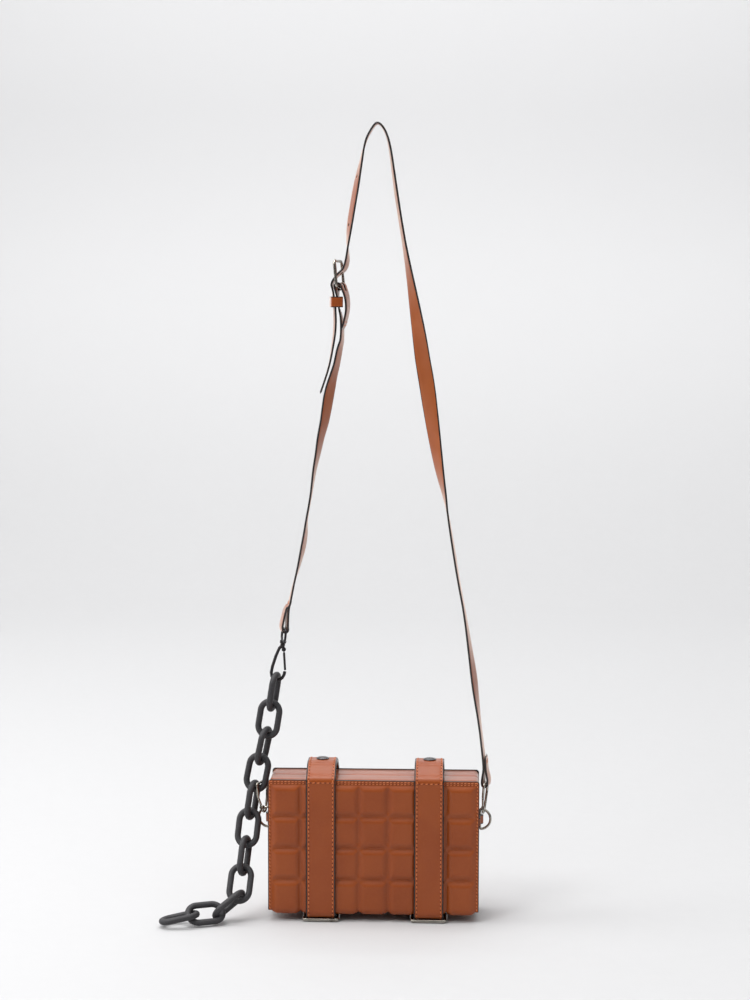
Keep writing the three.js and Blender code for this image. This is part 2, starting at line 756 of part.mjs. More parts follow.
const shortRun = [
	{ drop: 0.147, out: -0.033, turn: -8 },
	{ drop: 0.179, out: 0.01, turn: -16 },
	{ drop: 0.223, out: 0.062, turn: -19 },
	{ drop: 0.263, out: 0.129, turn: -26 },
	{ drop: 0.313, out: 0.2, turn: -36 },
	{ drop: 0.385, out: 0.273, turn: -30 },
	{ drop: 0.435, out: 0.343, turn: -22 },
	{ drop: 0.485, out: 0.399, turn: -14 },
	{ drop: 0.534, out: 0.459, turn: -7 },
	{ drop: 0.604, out: 0.52, turn: 0 },
	{ drop: 0.677, out: 0.598, turn: 0 },
	{ drop: 0.719, out: 0.622, turn: -9 },
	{ drop: 0.765, out: 0.669, turn: -12 },
	{ drop: 0.814, out: 0.74, turn: -4 },
	{ drop: 0.863, out: 0.821, turn: 4 },
	{ drop: 0.902, out: 0.875, turn: 7 },
	{ drop: 0.929, out: 0.911, turn: 9 },
];

const runPoints = (table, from, to) => table.map(({ drop, out, turn }) => ({
	x: THREE.MathUtils.lerp(from.x, to.x, out),
	z: THREE.MathUtils.lerp(from.z, to.z, drop),
	turn,
}));

// A folded end: the returning ply, the bend round the bar and the start of the main ply.
// rise is +1 where the plies go up from the bar, and side is the side of the returning ply.
function foldedEnd(bar, radius, rise, side, { meet, end, turn }) {
	const bottom = bar.z - rise * (bar.radius + fitGap + strapThick / 2);
	const centre = bottom + rise * strapLoop;
	const bend = [90, 45, 0, -45, -90].map((angle) => ({
		x: bar.x + side * strapLoop * Math.sin(radians(angle)),
		z: centre - rise * strapLoop * Math.cos(radians(angle)),
		turn,
	}));
	const apart = side * (strapThick + fitGap);
	return [
		{ x: end.x + apart, z: end.z, turn: end.turn },
		{ x: meet.x + apart, z: meet.z, turn: meet.turn },
		{ x: bar.x + side * strapLoop * 0.95, z: centre + rise * radius, turn },
		...bend,
		{ x: bar.x - side * strapLoop * 0.95, z: centre + rise * radius, turn },
		{ x: meet.x, z: meet.z, turn: meet.turn },
	];
}

function strapBand(rows, spans) {
	const middle = rows.map(({ x, z }) => point(x, 0, z));
	const stations = new THREE.CatmullRomCurve3(middle, false, 'catmullrom', 0.5).getPoints(spans);
	const turns = new THREE.SplineCurve(rows.map(({ turn }, index) => flat(index, turn))).getPoints(spans);
	const sideways = turns.map(({ y }) => point(-Math.sin(radians(y)), Math.cos(radians(y)), 0));
	return band(stations, sideways, strapWidth, strapThick);
}

const bucklePlace = { drop: 0.294, out: 0.411 };
const buckle = point(
	THREE.MathUtils.lerp(apex.x, leftBar.x, bucklePlace.out), 0,
	THREE.MathUtils.lerp(apex.z, leftBar.z, bucklePlace.drop));
const buckleTurn = -18;
const buckleLean = -6.4;
const buckleSide = point(-Math.sin(radians(buckleTurn)), Math.cos(radians(buckleTurn)), 0);
const buckleOut = leanedUp(buckleLean).cross(buckleSide).normalize();
const buckleUp = buckleSide.clone().cross(buckleOut);
const onBuckle = (across, up, out = 0) => buckle.clone().addScaledVector(buckleSide, across)
	.addScaledVector(buckleUp, up - buckleLength / 2).addScaledVector(buckleOut, out);
const heelBar = onBuckle(0, 0);

// Rows beside a place, as shares of a length
const beside = (table, place, length) => table.map(({ across, up, turn }) => ({
	x: place.x + across * length,
	z: place.z + up * length,
	turn,
}));

// Where the returning ply meets the main one and where it ends, above the right clip's top
const rightFold = [
	{ across: -0.055, up: 0.483, turn: -9 },
	{ across: -0.083, up: 0.897, turn: -8 },
];

// The long strap's tail: through the buckle and the keeper, as shares of the buckle's length,
// and then down beside the short strap, as shares of the way to the swivel hook
const tailThrough = [
	{ across: 0.025, up: 0.025, turn: -10 },
	{ across: -0.149, up: -0.165, turn: -4 },
	{ across: -0.26, up: -0.393, turn: -4 },
	{ across: -0.231, up: -0.661, turn: 4 },
	{ across: -0.186, up: -1.074, turn: 8 },
];
const tailRun = [
	{ drop: 0.104, out: 0.072, turn: 9 },
	{ drop: 0.1605, out: 0.076, turn: 9 },
	{ drop: 0.241, out: 0.156, turn: 4 },
	{ drop: 0.29, out: 0.243, turn: 3 },
	{ drop: 0.333, out: 0.338, turn: 2 },
];

function longStrap() {
	const [meet, end] = beside(rightFold, rightBar, clipHeight);
	const bar = { x: rightBar.x, z: rightBar.z, radius: clipWire / 2 + 0.2 };
	const rows = [
		...foldedEnd(bar, 5, 1, 1, { meet, end, turn: -12 }),
		...runPoints(rightRun, apex, rightBar).toReversed(),
		{ x: apex.x, z: apex.z, turn: 0 },
		...runPoints(leftRun, apex, buckle),
		...beside(tailThrough, buckle, buckleLength),
		...runPoints(tailRun, buckle, leftBar),
	];
	return strapBand(rows, rows.length * 2);
}

// The bend of the short strap over the buckle's heel bar, from its right side to its left
function overHeel() {
	const radius = buckleWire / 2 + fitGap + strapThick / 2 + 0.4;
	return [10, 50, 90, 130, 170].map((angle) => ({
		x: heelBar.x + radius * Math.cos(radians(angle)),
		z: heelBar.z + radius * Math.sin(radians(angle)),
		turn: buckleTurn,
	}));
}

// The short strap's upper plies, right and left of the heel bar, as shares of the buckle's length
const heelReturn = [
	{ across: 0.136, up: -1.612, turn: -8 },
	{ across: 0.223, up: -1.405, turn: -8 },
	{ across: 0.331, up: -0.909, turn: -10 },
	{ across: 0.314, up: -0.413, turn: -13 },
];
const heelFront = [
	{ across: -0.062, up: -0.227, turn: -8 },
	{ across: -0.029, up: -0.579, turn: 6 },
	{ across: 0.017, up: -0.868, turn: 2 },
	{ across: 0.107, up: -1.24, turn: -4 },
];

// Where its lower plies meet and end above the swivel hook's eye, as shares of the hook's reach
const leftFold = [
	{ across: 0.029, up: 0.418, turn: 12 },
	{ across: 0.084, up: 0.585, turn: 9 },
];

function shortStrap() {
	const heel = { x: buckle.x, z: heelBar.z };
	const [meet, end] = beside(leftFold, leftBar, hookReach);
	const bar = { x: leftBar.x, z: leftBar.z, radius: eyeWire / 2 + 0.2 };
	const rows = [
		...beside(heelReturn, heel, buckleLength),
		...overHeel(),
		...beside(heelFront, heel, buckleLength),
		...runPoints(shortRun, heelBar, leftBar),
		...foldedEnd(bar, 5, 1, 1, { meet, end, turn: 14 }).toReversed(),
	];
	return strapBand(rows, rows.length * 2);
}

// Two free holes above the buckle, as shares of the left run, and how far each points away from the side
const prongHeight = buckleLength * 0.5;
const freeHoles = [
	{ drop: 0.672, out: 0.716, turn: 25 },
	{ drop: 0.351, out: 0.49, turn: 18 },
];

function prong() {
	const barRadius = buckleWire / 2;
	const lift = barRadius + fitGap + prongWire / 2;
	const ring = closedWire(Array.from({ length: 8 }, (_, index) => {
		const angle = index * Math.PI / 4;
		return onBuckle(0, lift * Math.sin(angle), lift * Math.cos(angle));
	}), prongWire, 6);
	const tongue = wire([
		onBuckle(0, 0.8, lift), onBuckle(0, buckleLength * 0.3, lift + 0.3), onBuckle(0, buckleLength * 0.7, lift),
		onBuckle(0, buckleLength, lift), onBuckle(0, buckleLength + 2.2, lift - 0.6),
	], prongWire, 6);
	return join(ring, tongue);
}

function buckleFrame() {
	const half = strapWidth / 2 + 0.8 + buckleWire / 2;
	const radius = 3;
	const outline = roundedRectangle(-half, 0, half, buckleLength, radius).getPoints(3).slice(0, -1);
	return closedWire(outline.map(({ x, y }) => onBuckle(x, y)), buckleWire, 8);
}

function keeper() {
	const wide = strapWidth / 2 + fitGap + 1 + keeperThick / 2;
	const outline = roundedRectangle(-keeperReach, -wide, keeperReach, wide, 1.6);
	const hollow = roundedRectangle(
		-keeperReach + keeperThick, -wide + keeperThick, keeperReach - keeperThick, wide - keeperThick, 0.4);
	outline.holes.push(hollow);
	return new THREE.ExtrudeGeometry(outline, { depth: keeperWidth, bevelEnabled: false, curveSegments: 2 })
		.translate(0, 0, -keeperWidth / 2).rotateZ(radians(8)).translate(buckle.x - 2.4, 0, buckle.z - 26);
}

// A straight hole through the strap at a place on its middle line
function punch({ x, z, turn }) {
	const at = point(x, 0, z);
	const through = point(Math.cos(radians(turn)), Math.sin(radians(turn)), 0).multiplyScalar(3 * strapThick);
	return rod(at.clone().sub(through), at.clone().add(through), strapHole, 8);
}

const prongHole = rod(
	onBuckle(0, prongHeight - 7, 2.7), onBuckle(0, prongHeight + 5, 2.7), prongWire / 2 + 2 * fitGap, 8);
place('strap_long', cut(longStrap(), prongHole, ...runPoints(freeHoles, apex, buckle).map(punch)), cognac);
const slotHalf = prongWire / 2 + fitGap + 0.3;
const prongSlot = new THREE.BoxGeometry(12, 2 * slotHalf, 10)
	.rotateZ(radians(buckleTurn)).translate(heelBar.x, 0, heelBar.z + 1.2);
place('strap_short', cut(shortStrap(), prongSlot), cognac);
place('buckle_frame', buckleFrame(), nickel);
place('buckle_prong', prong(), nickel);
place('keeper', keeper(), cognac);

// The part's frame: its origin under the strap's highest point
bag.position.set(-strapTopShift, 0, -strapTop);

const group = new THREE.Group();
group.add(bag);

export default group;
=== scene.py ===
import json
import math

import bmesh
import bpy
import numpy as np
from mathutils import Matrix, Vector

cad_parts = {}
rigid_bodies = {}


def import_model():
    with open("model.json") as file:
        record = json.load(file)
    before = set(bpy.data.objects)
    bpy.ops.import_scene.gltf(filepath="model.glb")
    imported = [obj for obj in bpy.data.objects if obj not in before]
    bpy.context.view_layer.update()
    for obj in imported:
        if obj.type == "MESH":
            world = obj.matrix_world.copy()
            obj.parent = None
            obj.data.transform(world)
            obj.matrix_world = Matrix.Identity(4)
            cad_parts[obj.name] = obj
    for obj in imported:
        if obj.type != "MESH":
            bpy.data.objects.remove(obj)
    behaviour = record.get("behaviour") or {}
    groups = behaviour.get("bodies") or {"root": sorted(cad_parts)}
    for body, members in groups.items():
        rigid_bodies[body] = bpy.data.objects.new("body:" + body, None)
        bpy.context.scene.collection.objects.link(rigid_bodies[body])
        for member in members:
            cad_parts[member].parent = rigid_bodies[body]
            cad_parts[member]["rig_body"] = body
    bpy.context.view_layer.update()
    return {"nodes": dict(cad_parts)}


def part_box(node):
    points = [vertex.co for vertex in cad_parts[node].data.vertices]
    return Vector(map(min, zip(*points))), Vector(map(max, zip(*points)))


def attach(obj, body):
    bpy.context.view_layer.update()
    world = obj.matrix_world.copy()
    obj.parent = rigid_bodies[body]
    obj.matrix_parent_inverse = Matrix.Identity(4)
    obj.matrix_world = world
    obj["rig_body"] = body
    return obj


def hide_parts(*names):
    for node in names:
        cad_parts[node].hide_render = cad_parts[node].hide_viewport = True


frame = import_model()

scene = bpy.context.scene
mm = 0.001
print("frame loaded:", len(frame["nodes"]), "nodes")


# Node helpers

def put(tree, kind, inputs=None, **settings):
    node = tree.nodes.new(kind)
    for name, value in settings.items():
        setattr(node, name, value)
    for key, value in (inputs or {}).items():
        if isinstance(value, bpy.types.NodeSocket):
            tree.links.new(value, node.inputs[key])
        else:
            node.inputs[key].default_value = value
    return node


def maths(tree, operation, *values, clamp=False):
    node = put(tree, "ShaderNodeMath", dict(enumerate(values)), operation=operation, use_clamp=clamp)
    return node.outputs[0]


def ramped(tree, value, low, high, start=0.0, end=1.0):
    node = put(tree, "ShaderNodeMapRange", {0: value, 1: low, 2: high, 3: start, 4: end},
               interpolation_type="SMOOTHSTEP")
    return node.outputs[0]


def blended(tree, share, first, second):
    return put(tree, "ShaderNodeMix", {0: share, 6: first, 7: second}, data_type="RGBA").outputs[2]


def noise(tree, place, scale, detail=2.0, distortion=0.0):
    node = put(tree, "ShaderNodeTexNoise",
               {"Vector": place, "Scale": scale, "Detail": detail, "Distortion": distortion})
    return node.outputs["Fac"]


def tone(red, green, blue):  # a screen colour, 0 to 255, as linear light
    return tuple(((v / 255 + 0.055) / 1.055) ** 2.4 for v in (red, green, blue)) + (1.0,)


def newGroup(name, kind, inputs, outputs):
    group = bpy.data.node_groups.new(name, kind)
    for label, socketType, value in inputs:
        socket = group.interface.new_socket(label, in_out="INPUT", socket_type=socketType)
        if value is not None:
            socket.default_value = value
    for label, socketType in outputs:
        group.interface.new_socket(label, in_out="OUTPUT", socket_type=socketType)
    return group, group.nodes.new("NodeGroupInput").outputs, group.nodes.new("NodeGroupOutput")


def placeGroup(tree, group, **inputs):
    node = tree.nodes.new("ShaderNodeGroup")
    node.node_tree = group
    for label, value in inputs.items():
        label = label.replace("_", " ")
        if isinstance(value, bpy.types.NodeSocket):
            tree.links.new(value, node.inputs[label])
        else:
            node.inputs[label].default_value = value
    return node.outputs


# Shared surface effects

def grainGroup():
    tree, given, out = newGroup(
        "leatherGrain", "ShaderNodeTree",
        [("Vector", "NodeSocketVector", None), ("Grain", "NodeSocketFloat", 1500.0),
         ("Creases", "NodeSocketFloat", 0.3)],
        [("Height", "NodeSocketFloat"), ("Pores", "NodeSocketFloat")])
    cells = put(tree, "ShaderNodeTexVoronoi", {"Vector": given["Vector"], "Scale": given["Grain"]},
                feature="DISTANCE_TO_EDGE").outputs["Distance"]
    pebble = ramped(tree, cells, 0.0, 0.16)
    fine = noise(tree, given["Vector"], maths(tree, "MULTIPLY", given["Grain"], 0.5), 3.0)
    bends = noise(tree, given["Vector"], maths(tree, "MULTIPLY", given["Grain"], 0.06), 4.0, 1.2)
    crease = ramped(tree, maths(tree, "ABSOLUTE", maths(tree, "SUBTRACT", bends, 0.5)), 0.0, 0.035)
    depth = maths(tree, "MULTIPLY", maths(tree, "SUBTRACT", 1.0, crease), given["Creases"])
    grain = maths(tree, "ADD", maths(tree, "MULTIPLY", pebble, 0.5), maths(tree, "MULTIPLY", fine, 0.5))
    tree.links.new(maths(tree, "SUBTRACT", grain, depth), out.inputs["Height"])
    tree.links.new(maths(tree, "SUBTRACT", 1.0, pebble), out.inputs["Pores"])
    return tree


def patinaGroup():
    tree, given, out = newGroup(
        "patina", "ShaderNodeTree",
        [("Vector", "NodeSocketVector", None), ("Colour", "NodeSocketColor", (0.3, 0.1, 0.05, 1)),
         ("Deep", "NodeSocketColor", (0.2, 0.06, 0.03, 1)), ("Worn", "NodeSocketColor", (0.5, 0.2, 0.1, 1)),
         ("Amount", "NodeSocketFloat", 0.5), ("Wear", "NodeSocketFloat", 0.0)],
        [("Colour", "NodeSocketColor"), ("Shift", "NodeSocketFloat")])
    clouds = noise(tree, given["Vector"], 22.0, 4.0)
    specks = noise(tree, given["Vector"], 420.0, 3.0)
    share = maths(tree, "MULTIPLY", ramped(tree, clouds, 0.35, 0.7), given["Amount"])
    clouded = blended(tree, share, given["Colour"], given["Deep"])
    specked = maths(tree, "MULTIPLY", ramped(tree, specks, 0.4, 0.75), 0.1)
    speckled = blended(tree, specked, clouded, given["Worn"])
    worn = blended(tree, maths(tree, "MULTIPLY", given["Wear"], ramped(tree, specks, 0.3, 0.6), clamp=True),
                   speckled, given["Worn"])
    tree.links.new(worn, out.inputs["Colour"])
    tree.links.new(maths(tree, "SUBTRACT", clouds, 0.5), out.inputs["Shift"])
    return tree


def edgePaintGroup():
    tree, given, out = newGroup(
        "edgePaint", "ShaderNodeTree",
        [("Vector", "NodeSocketVector", None), ("Rim", "NodeSocketFloat", 0.0),
         ("Reach", "NodeSocketFloat", 0.0008)],
        [("Mask", "NodeSocketFloat")])
    uneven = maths(tree, "SUBTRACT", noise(tree, given["Vector"], 260.0, 3.0), 0.5)
    wander = maths(tree, "MULTIPLY", uneven, 0.6 * mm)
    rim = maths(tree, "ADD", given["Rim"], wander)
    edge = maths(tree, "SUBTRACT", rim, given["Reach"])
    tree.links.new(ramped(tree, edge, 0.00012, -0.00012), out.inputs["Mask"])
    return tree


def scuffGroup():
    tree, given, out = newGroup(
        "scuffs", "ShaderNodeTree",
        [("Vector", "NodeSocketVector", None), ("Scale", "NodeSocketFloat", 600.0)],
        [("Scratches", "NodeSocketFloat"), ("Dust", "NodeSocketFloat")])
    stretched = put(tree, "ShaderNodeMapping", {"Vector": given["Vector"], "Rotation": (0.5, 0.3, 0.8),
                                                "Scale": (1.0, 9.0, 1.0)}).outputs[0]
    lines = noise(tree, stretched, given["Scale"], 3.0)
    tree.links.new(ramped(tree, lines, 0.55, 0.75), out.inputs["Scratches"])
    tree.links.new(noise(tree, given["Vector"], maths(tree, "MULTIPLY", given["Scale"], 0.15), 3.0),
                   out.inputs["Dust"])
    return tree


leatherGrain, patina, edgePaint, scuffs = grainGroup(), patinaGroup(), edgePaintGroup(), scuffGroup()


def newMaterial(name):
    material = bpy.data.materials.new(name)
    material.use_nodes = True
    tree = material.node_tree
    shader = tree.nodes["Principled BSDF"]
    place = put(tree, "ShaderNodeTexCoord").outputs["Object"]
    return material, tree, shader, place


def bumped(tree, shader, height, strength, distance):
    bump = put(tree, "ShaderNodeBump", {"Height": height, "Strength": strength, "Distance": distance})
    tree.links.new(bump.outputs["Normal"], shader.inputs["Normal"])


leatherTones = {
    "cognac": tone(148, 69, 20), "cognacDeep": tone(134, 58, 14), "cognacWorn": tone(172, 90, 38),
    "under": tone(166, 88, 42), "underDeep": tone(150, 74, 30), "paint": tone(30, 25, 25),
}


def leather(name, roughness=0.42, paintReach=0.8 * mm, wear=0.4, relief=0.18, coat=0.35, sheen=0.0):
    material, tree, shader, place = newMaterial(name)
    rim = put(tree, "ShaderNodeAttribute", attribute_name="rim").outputs["Fac"]
    skin = put(tree, "ShaderNodeAttribute", attribute_name="skin").outputs["Fac"]
    surface = placeGroup(tree, leatherGrain, Vector=place, Grain=1500.0, Creases=0.25)
    nearEdge = maths(tree, "MULTIPLY", ramped(tree, rim, paintReach + 2.2 * mm, paintReach), wear)
    outer = placeGroup(tree, patina, Vector=place, Colour=leatherTones["cognac"],
                       Deep=leatherTones["cognacDeep"], Worn=leatherTones["cognacWorn"], Amount=0.6,
                       Wear=nearEdge)
    inner = placeGroup(tree, patina, Vector=place, Colour=leatherTones["under"],
                       Deep=leatherTones["underDeep"], Worn=leatherTones["under"], Amount=0.7, Wear=0.0)
    isOuter = ramped(tree, skin, 0.45, 0.55)
    bare = blended(tree, isOuter, inner["Colour"], outer["Colour"])
    pored = blended(tree, maths(tree, "MULTIPLY", surface["Pores"], 0.12), bare, leatherTones["cognacDeep"])
    painted = placeGroup(tree, edgePaint, Vector=place, Rim=rim, Reach=paintReach)["Mask"]
    tree.links.new(blended(tree, painted, pored, leatherTones["paint"]), shader.inputs["Base Color"])
    rough = maths(tree, "ADD", roughness, maths(tree, "MULTIPLY", outer["Shift"], 0.2))
    rough = maths(tree, "ADD", rough, maths(tree, "MULTIPLY", surface["Pores"], 0.06))
    rough = maths(tree, "ADD", rough, maths(tree, "MULTIPLY", maths(tree, "SUBTRACT", 1.0, isOuter), 0.06))
    rough = maths(tree, "SUBTRACT", rough, maths(tree, "MULTIPLY", painted, 0.08), clamp=True)
    tree.links.new(rough, shader.inputs["Roughness"])
    shader.inputs["Specular IOR Level"].default_value = 0.25
    shader.inputs["Coat Weight"].default_value = coat
    shader.inputs["Coat Roughness"].default_value = 0.24
    shader.inputs["Coat IOR"].default_value = 1.45
    shader.inputs["Sheen Weight"].default_value = sheen
    shader.inputs["Sheen Roughness"].default_value = 0.3
    shader.inputs["Sheen Tint"].default_value = (1.0, 0.82, 0.7, 1.0)
    bumped(tree, shader, surface["Height"], relief, 0.12 * mm)
    return material


def metal(name, colour, roughness, grime):
    material, tree, shader, place = newMaterial(name)
    marks = placeGroup(tree, scuffs, Vector=place, Scale=700.0)
    tarnish = maths(tree, "MULTIPLY", ramped(tree, marks["Dust"], 0.45, 0.8), grime)
    tree.links.new(blended(tree, tarnish, colour, tone(70, 62, 56)), shader.inputs["Base Color"])
    rough = maths(tree, "ADD", roughness, maths(tree, "MULTIPLY", marks["Scratches"], 0.14))
    rough = maths(tree, "ADD", rough, maths(tree, "MULTIPLY", tarnish, 0.3))
    tree.links.new(rough, shader.inputs["Roughness"])
    shader.inputs["Metallic"].default_value = 1.0
    bumped(tree, shader, marks["Scratches"], 0.08, 0.03 * mm)
    return material


def mouldedPlastic(name):
    material, tree, shader, place = newMaterial(name)
    marks = placeGroup(tree, scuffs, Vector=place, Scale=500.0)
    speckle = noise(tree, place, 900.0, 3.0)
    dusty = blended(tree, maths(tree, "MULTIPLY", ramped(tree, speckle, 0.5, 0.75), 0.5),
                    tone(44, 43, 46), tone(74, 72, 75))
    rubbed = blended(tree, maths(tree, "MULTIPLY", marks["Scratches"], 0.35), dusty, tone(92, 90, 92))
    tree.links.new(rubbed, shader.inputs["Base Color"])
    rough = maths(tree, "ADD", 0.46, maths(tree, "MULTIPLY", marks["Dust"], 0.25))
    tree.links.new(rough, shader.inputs["Roughness"])
    bumped(tree, shader, speckle, 0.25, 0.12 * mm)
    return material


def threadMaterial():
    material, tree, shader, place = newMaterial("waxedThread")
    plies = noise(tree, place, 2600.0, 2.0)
    tree.links.new(blended(tree, ramped(tree, plies, 0.35, 0.7), tone(190, 98, 48), tone(228, 138, 80)),
                   shader.inputs["Base Color"])
    shader.inputs["Roughness"].default_value = 0.6
    bumped(tree, shader, plies, 0.5, 0.1 * mm)
    return material


# painted shade: each needle hole is a flat dark disc, coloured as the shade inside a pierced hole
def holeShadeMaterial():
    material, tree, shader, place = newMaterial("needleHoleShade")
    depth = noise(tree, place, 1800.0, 2.0)
    tree.links.new(blended(tree, ramped(tree, depth, 0.3, 0.7), tone(70, 20, 12), tone(104, 38, 20)),
                   shader.inputs["Base Color"])
    shader.inputs["Roughness"].default_value = 0.85
    return material


panelLeather = leather("panelLeather", roughness=0.4, paintReach=0.75 * mm, relief=0.08)
beltLeather = leather("beltLeather", roughness=0.36, paintReach=1.25 * mm, relief=0.07)
strapLeather = leather("strapLeather", roughness=0.38, paintReach=0.85 * mm, relief=0.08, coat=0.7, sheen=0.8)
wallLeather = leather("wallLeather", roughness=0.34, paintReach=0.0, relief=0.08, wear=0.7, coat=0.6,
                      sheen=0.25)
thread, needleHoleShade = threadMaterial(), holeShadeMaterial()
chainPlastic = mouldedPlastic("chainPlastic")
nickel = metal("polishedNickel", tone(168, 163, 154), 0.16, 0.5)
gunmetal = metal("gunmetal", tone(96, 94, 96), 0.26, 0.6)
blackMetal = metal("blackNickel", tone(58, 57, 60), 0.28, 0.5)
print("materials made")


# Meshes

def linked(name, data):
    thing = bpy.data.objects.new(name, data)
    scene.collection.objects.link(thing)
    return thing


def meshOf(name, vertices, edges, faces):
    mesh = bpy.data.meshes.new(name)
    mesh.from_pydata(vertices, edges, faces)
    return mesh


def smoothShaded(mesh):
    mesh.polygons.foreach_set("use_smooth", [True] * len(mesh.polygons))


def setValues(mesh, label, values, kind="FLOAT"):
    field = "value" if kind == "FLOAT" else "vector"
    mesh.attributes.new(label, kind, "POINT").data.foreach_set(field, np.array(values, np.float32).ravel())


def newPiece(name, vertices, faces, materials, attributes=None, uv=None):
    mesh = meshOf(name, [tuple(v) for v in vertices], [], faces)
    piece = linked(name, mesh)
    for material in materials:
        mesh.materials.append(material)
    for label, values in (attributes or {}).items():
        setValues(mesh, label, values)
    made = bmesh.new()
    made.from_mesh(mesh)
    bmesh.ops.recalc_face_normals(made, faces=made.faces)
    if made.calc_volume(signed=True) < 0:
        bmesh.ops.reverse_faces(made, faces=made.faces)
    if uv is not None:
        layer = made.loops.layers.uv.new("along")
        for face in made.faces:
            for loop in face.loops:
                loop[layer].uv = uv[loop.vert.index]
    made.to_mesh(mesh)
    made.free()
    smoothShaded(mesh)
    return piece


def hand(piece, body, slot, *nodes):
    if nodes:
        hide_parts(*nodes)
    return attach(piece, body)


def settle(piece):
    depsgraph = bpy.context.evaluated_depsgraph_get()
    mesh = bpy.data.meshes.new_from_object(piece.evaluated_get(depsgraph))
    piece.modifiers.clear()
    piece.data = mesh
    mesh.name = piece.name
    return piece


def mergedCopy(node, name):
    mesh = frame["nodes"][node].data.copy()
    mesh.name = name
    mesh.materials.clear()
    made = bmesh.new()
    made.from_mesh(mesh)
    bmesh.ops.remove_doubles(made, verts=made.verts, dist=0.01 * mm)
    made.to_mesh(mesh)
    made.free()
    return linked(name, mesh)


def cornersOf(node):
    made = bmesh.new()
    made.from_mesh(frame["nodes"][node].data)
    bmesh.ops.remove_doubles(made, verts=made.verts, dist=0.01 * mm)
    places = np.array([v.co for v in made.verts], float)
    edges = [(e.verts[0].index, e.verts[1].index) for e in made.edges]
    made.free()
    return places, edges


# Bands: belts and straps follow the middle line of their CAD strips

def stationsOf(node, width, thick):
    places, edges = cornersOf(node)
    close = 0.03 * mm
    short = [(a, b) for a, b in edges if abs(np.linalg.norm(places[a] - places[b]) - thick) < close]
    middles = np.array([(places[a] + places[b]) / 2 for a, b in short])
    ways = np.array([(places[a] - places[b]) / thick for a, b in short])
    owner, stations = {}, []
    for k in range(len(short)):
        apart = middles - middles[k]
        fits = ((np.abs(np.linalg.norm(apart, axis=1) - width) < close) & (np.abs(ways @ ways[k]) > 0.9995)
                & (np.abs(apart @ ways[k]) < close))
        for other in np.nonzero(fits)[0]:
            corners = set(short[k]) | set(short[other])
            if other > k and not corners & set(owner):
                owner.update({corner: len(stations) for corner in corners})
                stations.append(((middles[k] + middles[other]) / 2, (middles[k] - middles[other]) / width))
    near = {k: set() for k in range(len(stations))}
    for a, b in edges:
        if a in owner and b in owner and owner[a] != owner[b]:
            near[owner[a]].add(owner[b])
            near[owner[b]].add(owner[a])
    order, last = [min(k for k in near if len(near[k]) == 1)], None
    while True:
        onward = [k for k in near[order[-1]] if k not in order]
        if not onward:
            break
        order.append(min(onward, key=lambda k: np.linalg.norm(stations[k][0] - stations[order[-1]][0])))
    print(node, "follows", len(order), "of", len(stations), "stations")
    centres = np.array([stations[k][0] for k in order])
    sides = np.array([stations[k][1] for k in order])
    for k in range(1, len(sides)):
        if np.dot(sides[k], sides[k - 1]) < 0:
            sides[k] = -sides[k]
    return centres, sides


def smoothRoute(centres, sides, step):
    ahead = np.vstack([centres[1:], [2 * centres[-1] - centres[-2]]])
    before = np.vstack([[2 * centres[0] - centres[1]], centres[:-1]])
    newCentres, newSides = [], []
    for k in range(len(centres) - 1):
        p0, p1, p2, p3 = before[k], centres[k], centres[k + 1], ahead[k + 1]
        span = np.linalg.norm(p2 - p1)
        out = span * 0.5 * ((p2 - p0) / max(np.linalg.norm(p2 - p0), 1e-9)) * 2
        into = span * 0.5 * ((p3 - p1) / max(np.linalg.norm(p3 - p1), 1e-9)) * 2
        count = max(1, math.ceil(span / step))
        for t in np.arange(count) / count:
            h = [2 * t**3 - 3 * t**2 + 1, t**3 - 2 * t**2 + t, -2 * t**3 + 3 * t**2, t**3 - t**2]
            newCentres.append(h[0] * p1 + h[1] * out + h[2] * p2 + h[3] * into)
            side = (1 - t) * sides[k] + t * sides[k + 1]
            newSides.append(side / np.linalg.norm(side))
    newCentres.append(centres[-1])
    newSides.append(sides[-1])
    return np.array(newCentres), np.array(newSides)


def lengthsAlong(centres):
    return np.concatenate([[0], np.cumsum(np.linalg.norm(np.diff(centres, axis=0), axis=1))])


def framesOf(centres, sides, outward):
    ways = np.gradient(centres, axis=0)
    ways /= np.linalg.norm(ways, axis=1)[:, None]
    sides = sides - ways * np.sum(sides * ways, axis=1)[:, None]
    sides /= np.linalg.norm(sides, axis=1)[:, None]
    normals = np.cross(sides, ways)
    index, direction = outward
    if np.dot(normals[index], direction) < 0:
        normals, sides = -normals, -sides
    return sides, normals


def bandSection(width, thick, dip=0.0, dipAt=0.0):
    half, up = width / 2, thick / 2
    inset = thick * 0.42
    arc = [(half - inset + inset * math.sin(a), up - inset + inset * math.cos(a))
           for a in np.radians([8, 35, 62, 86])]
    flat = [(0.0, up), (half * 0.45, up)]
    if dip:
        flat += [(dipAt - 1.3 * mm, up), (dipAt - 0.6 * mm, up - dip * 0.6), (dipAt, up - dip),
                 (dipAt + 0.6 * mm, up - dip * 0.6), (dipAt + 1.1 * mm, up)]
    top = flat + arc
    right = top + [(x, -y) for x, y in reversed(top)]
    return right + [(-x, y) for x, y in reversed(right) if x > 0]


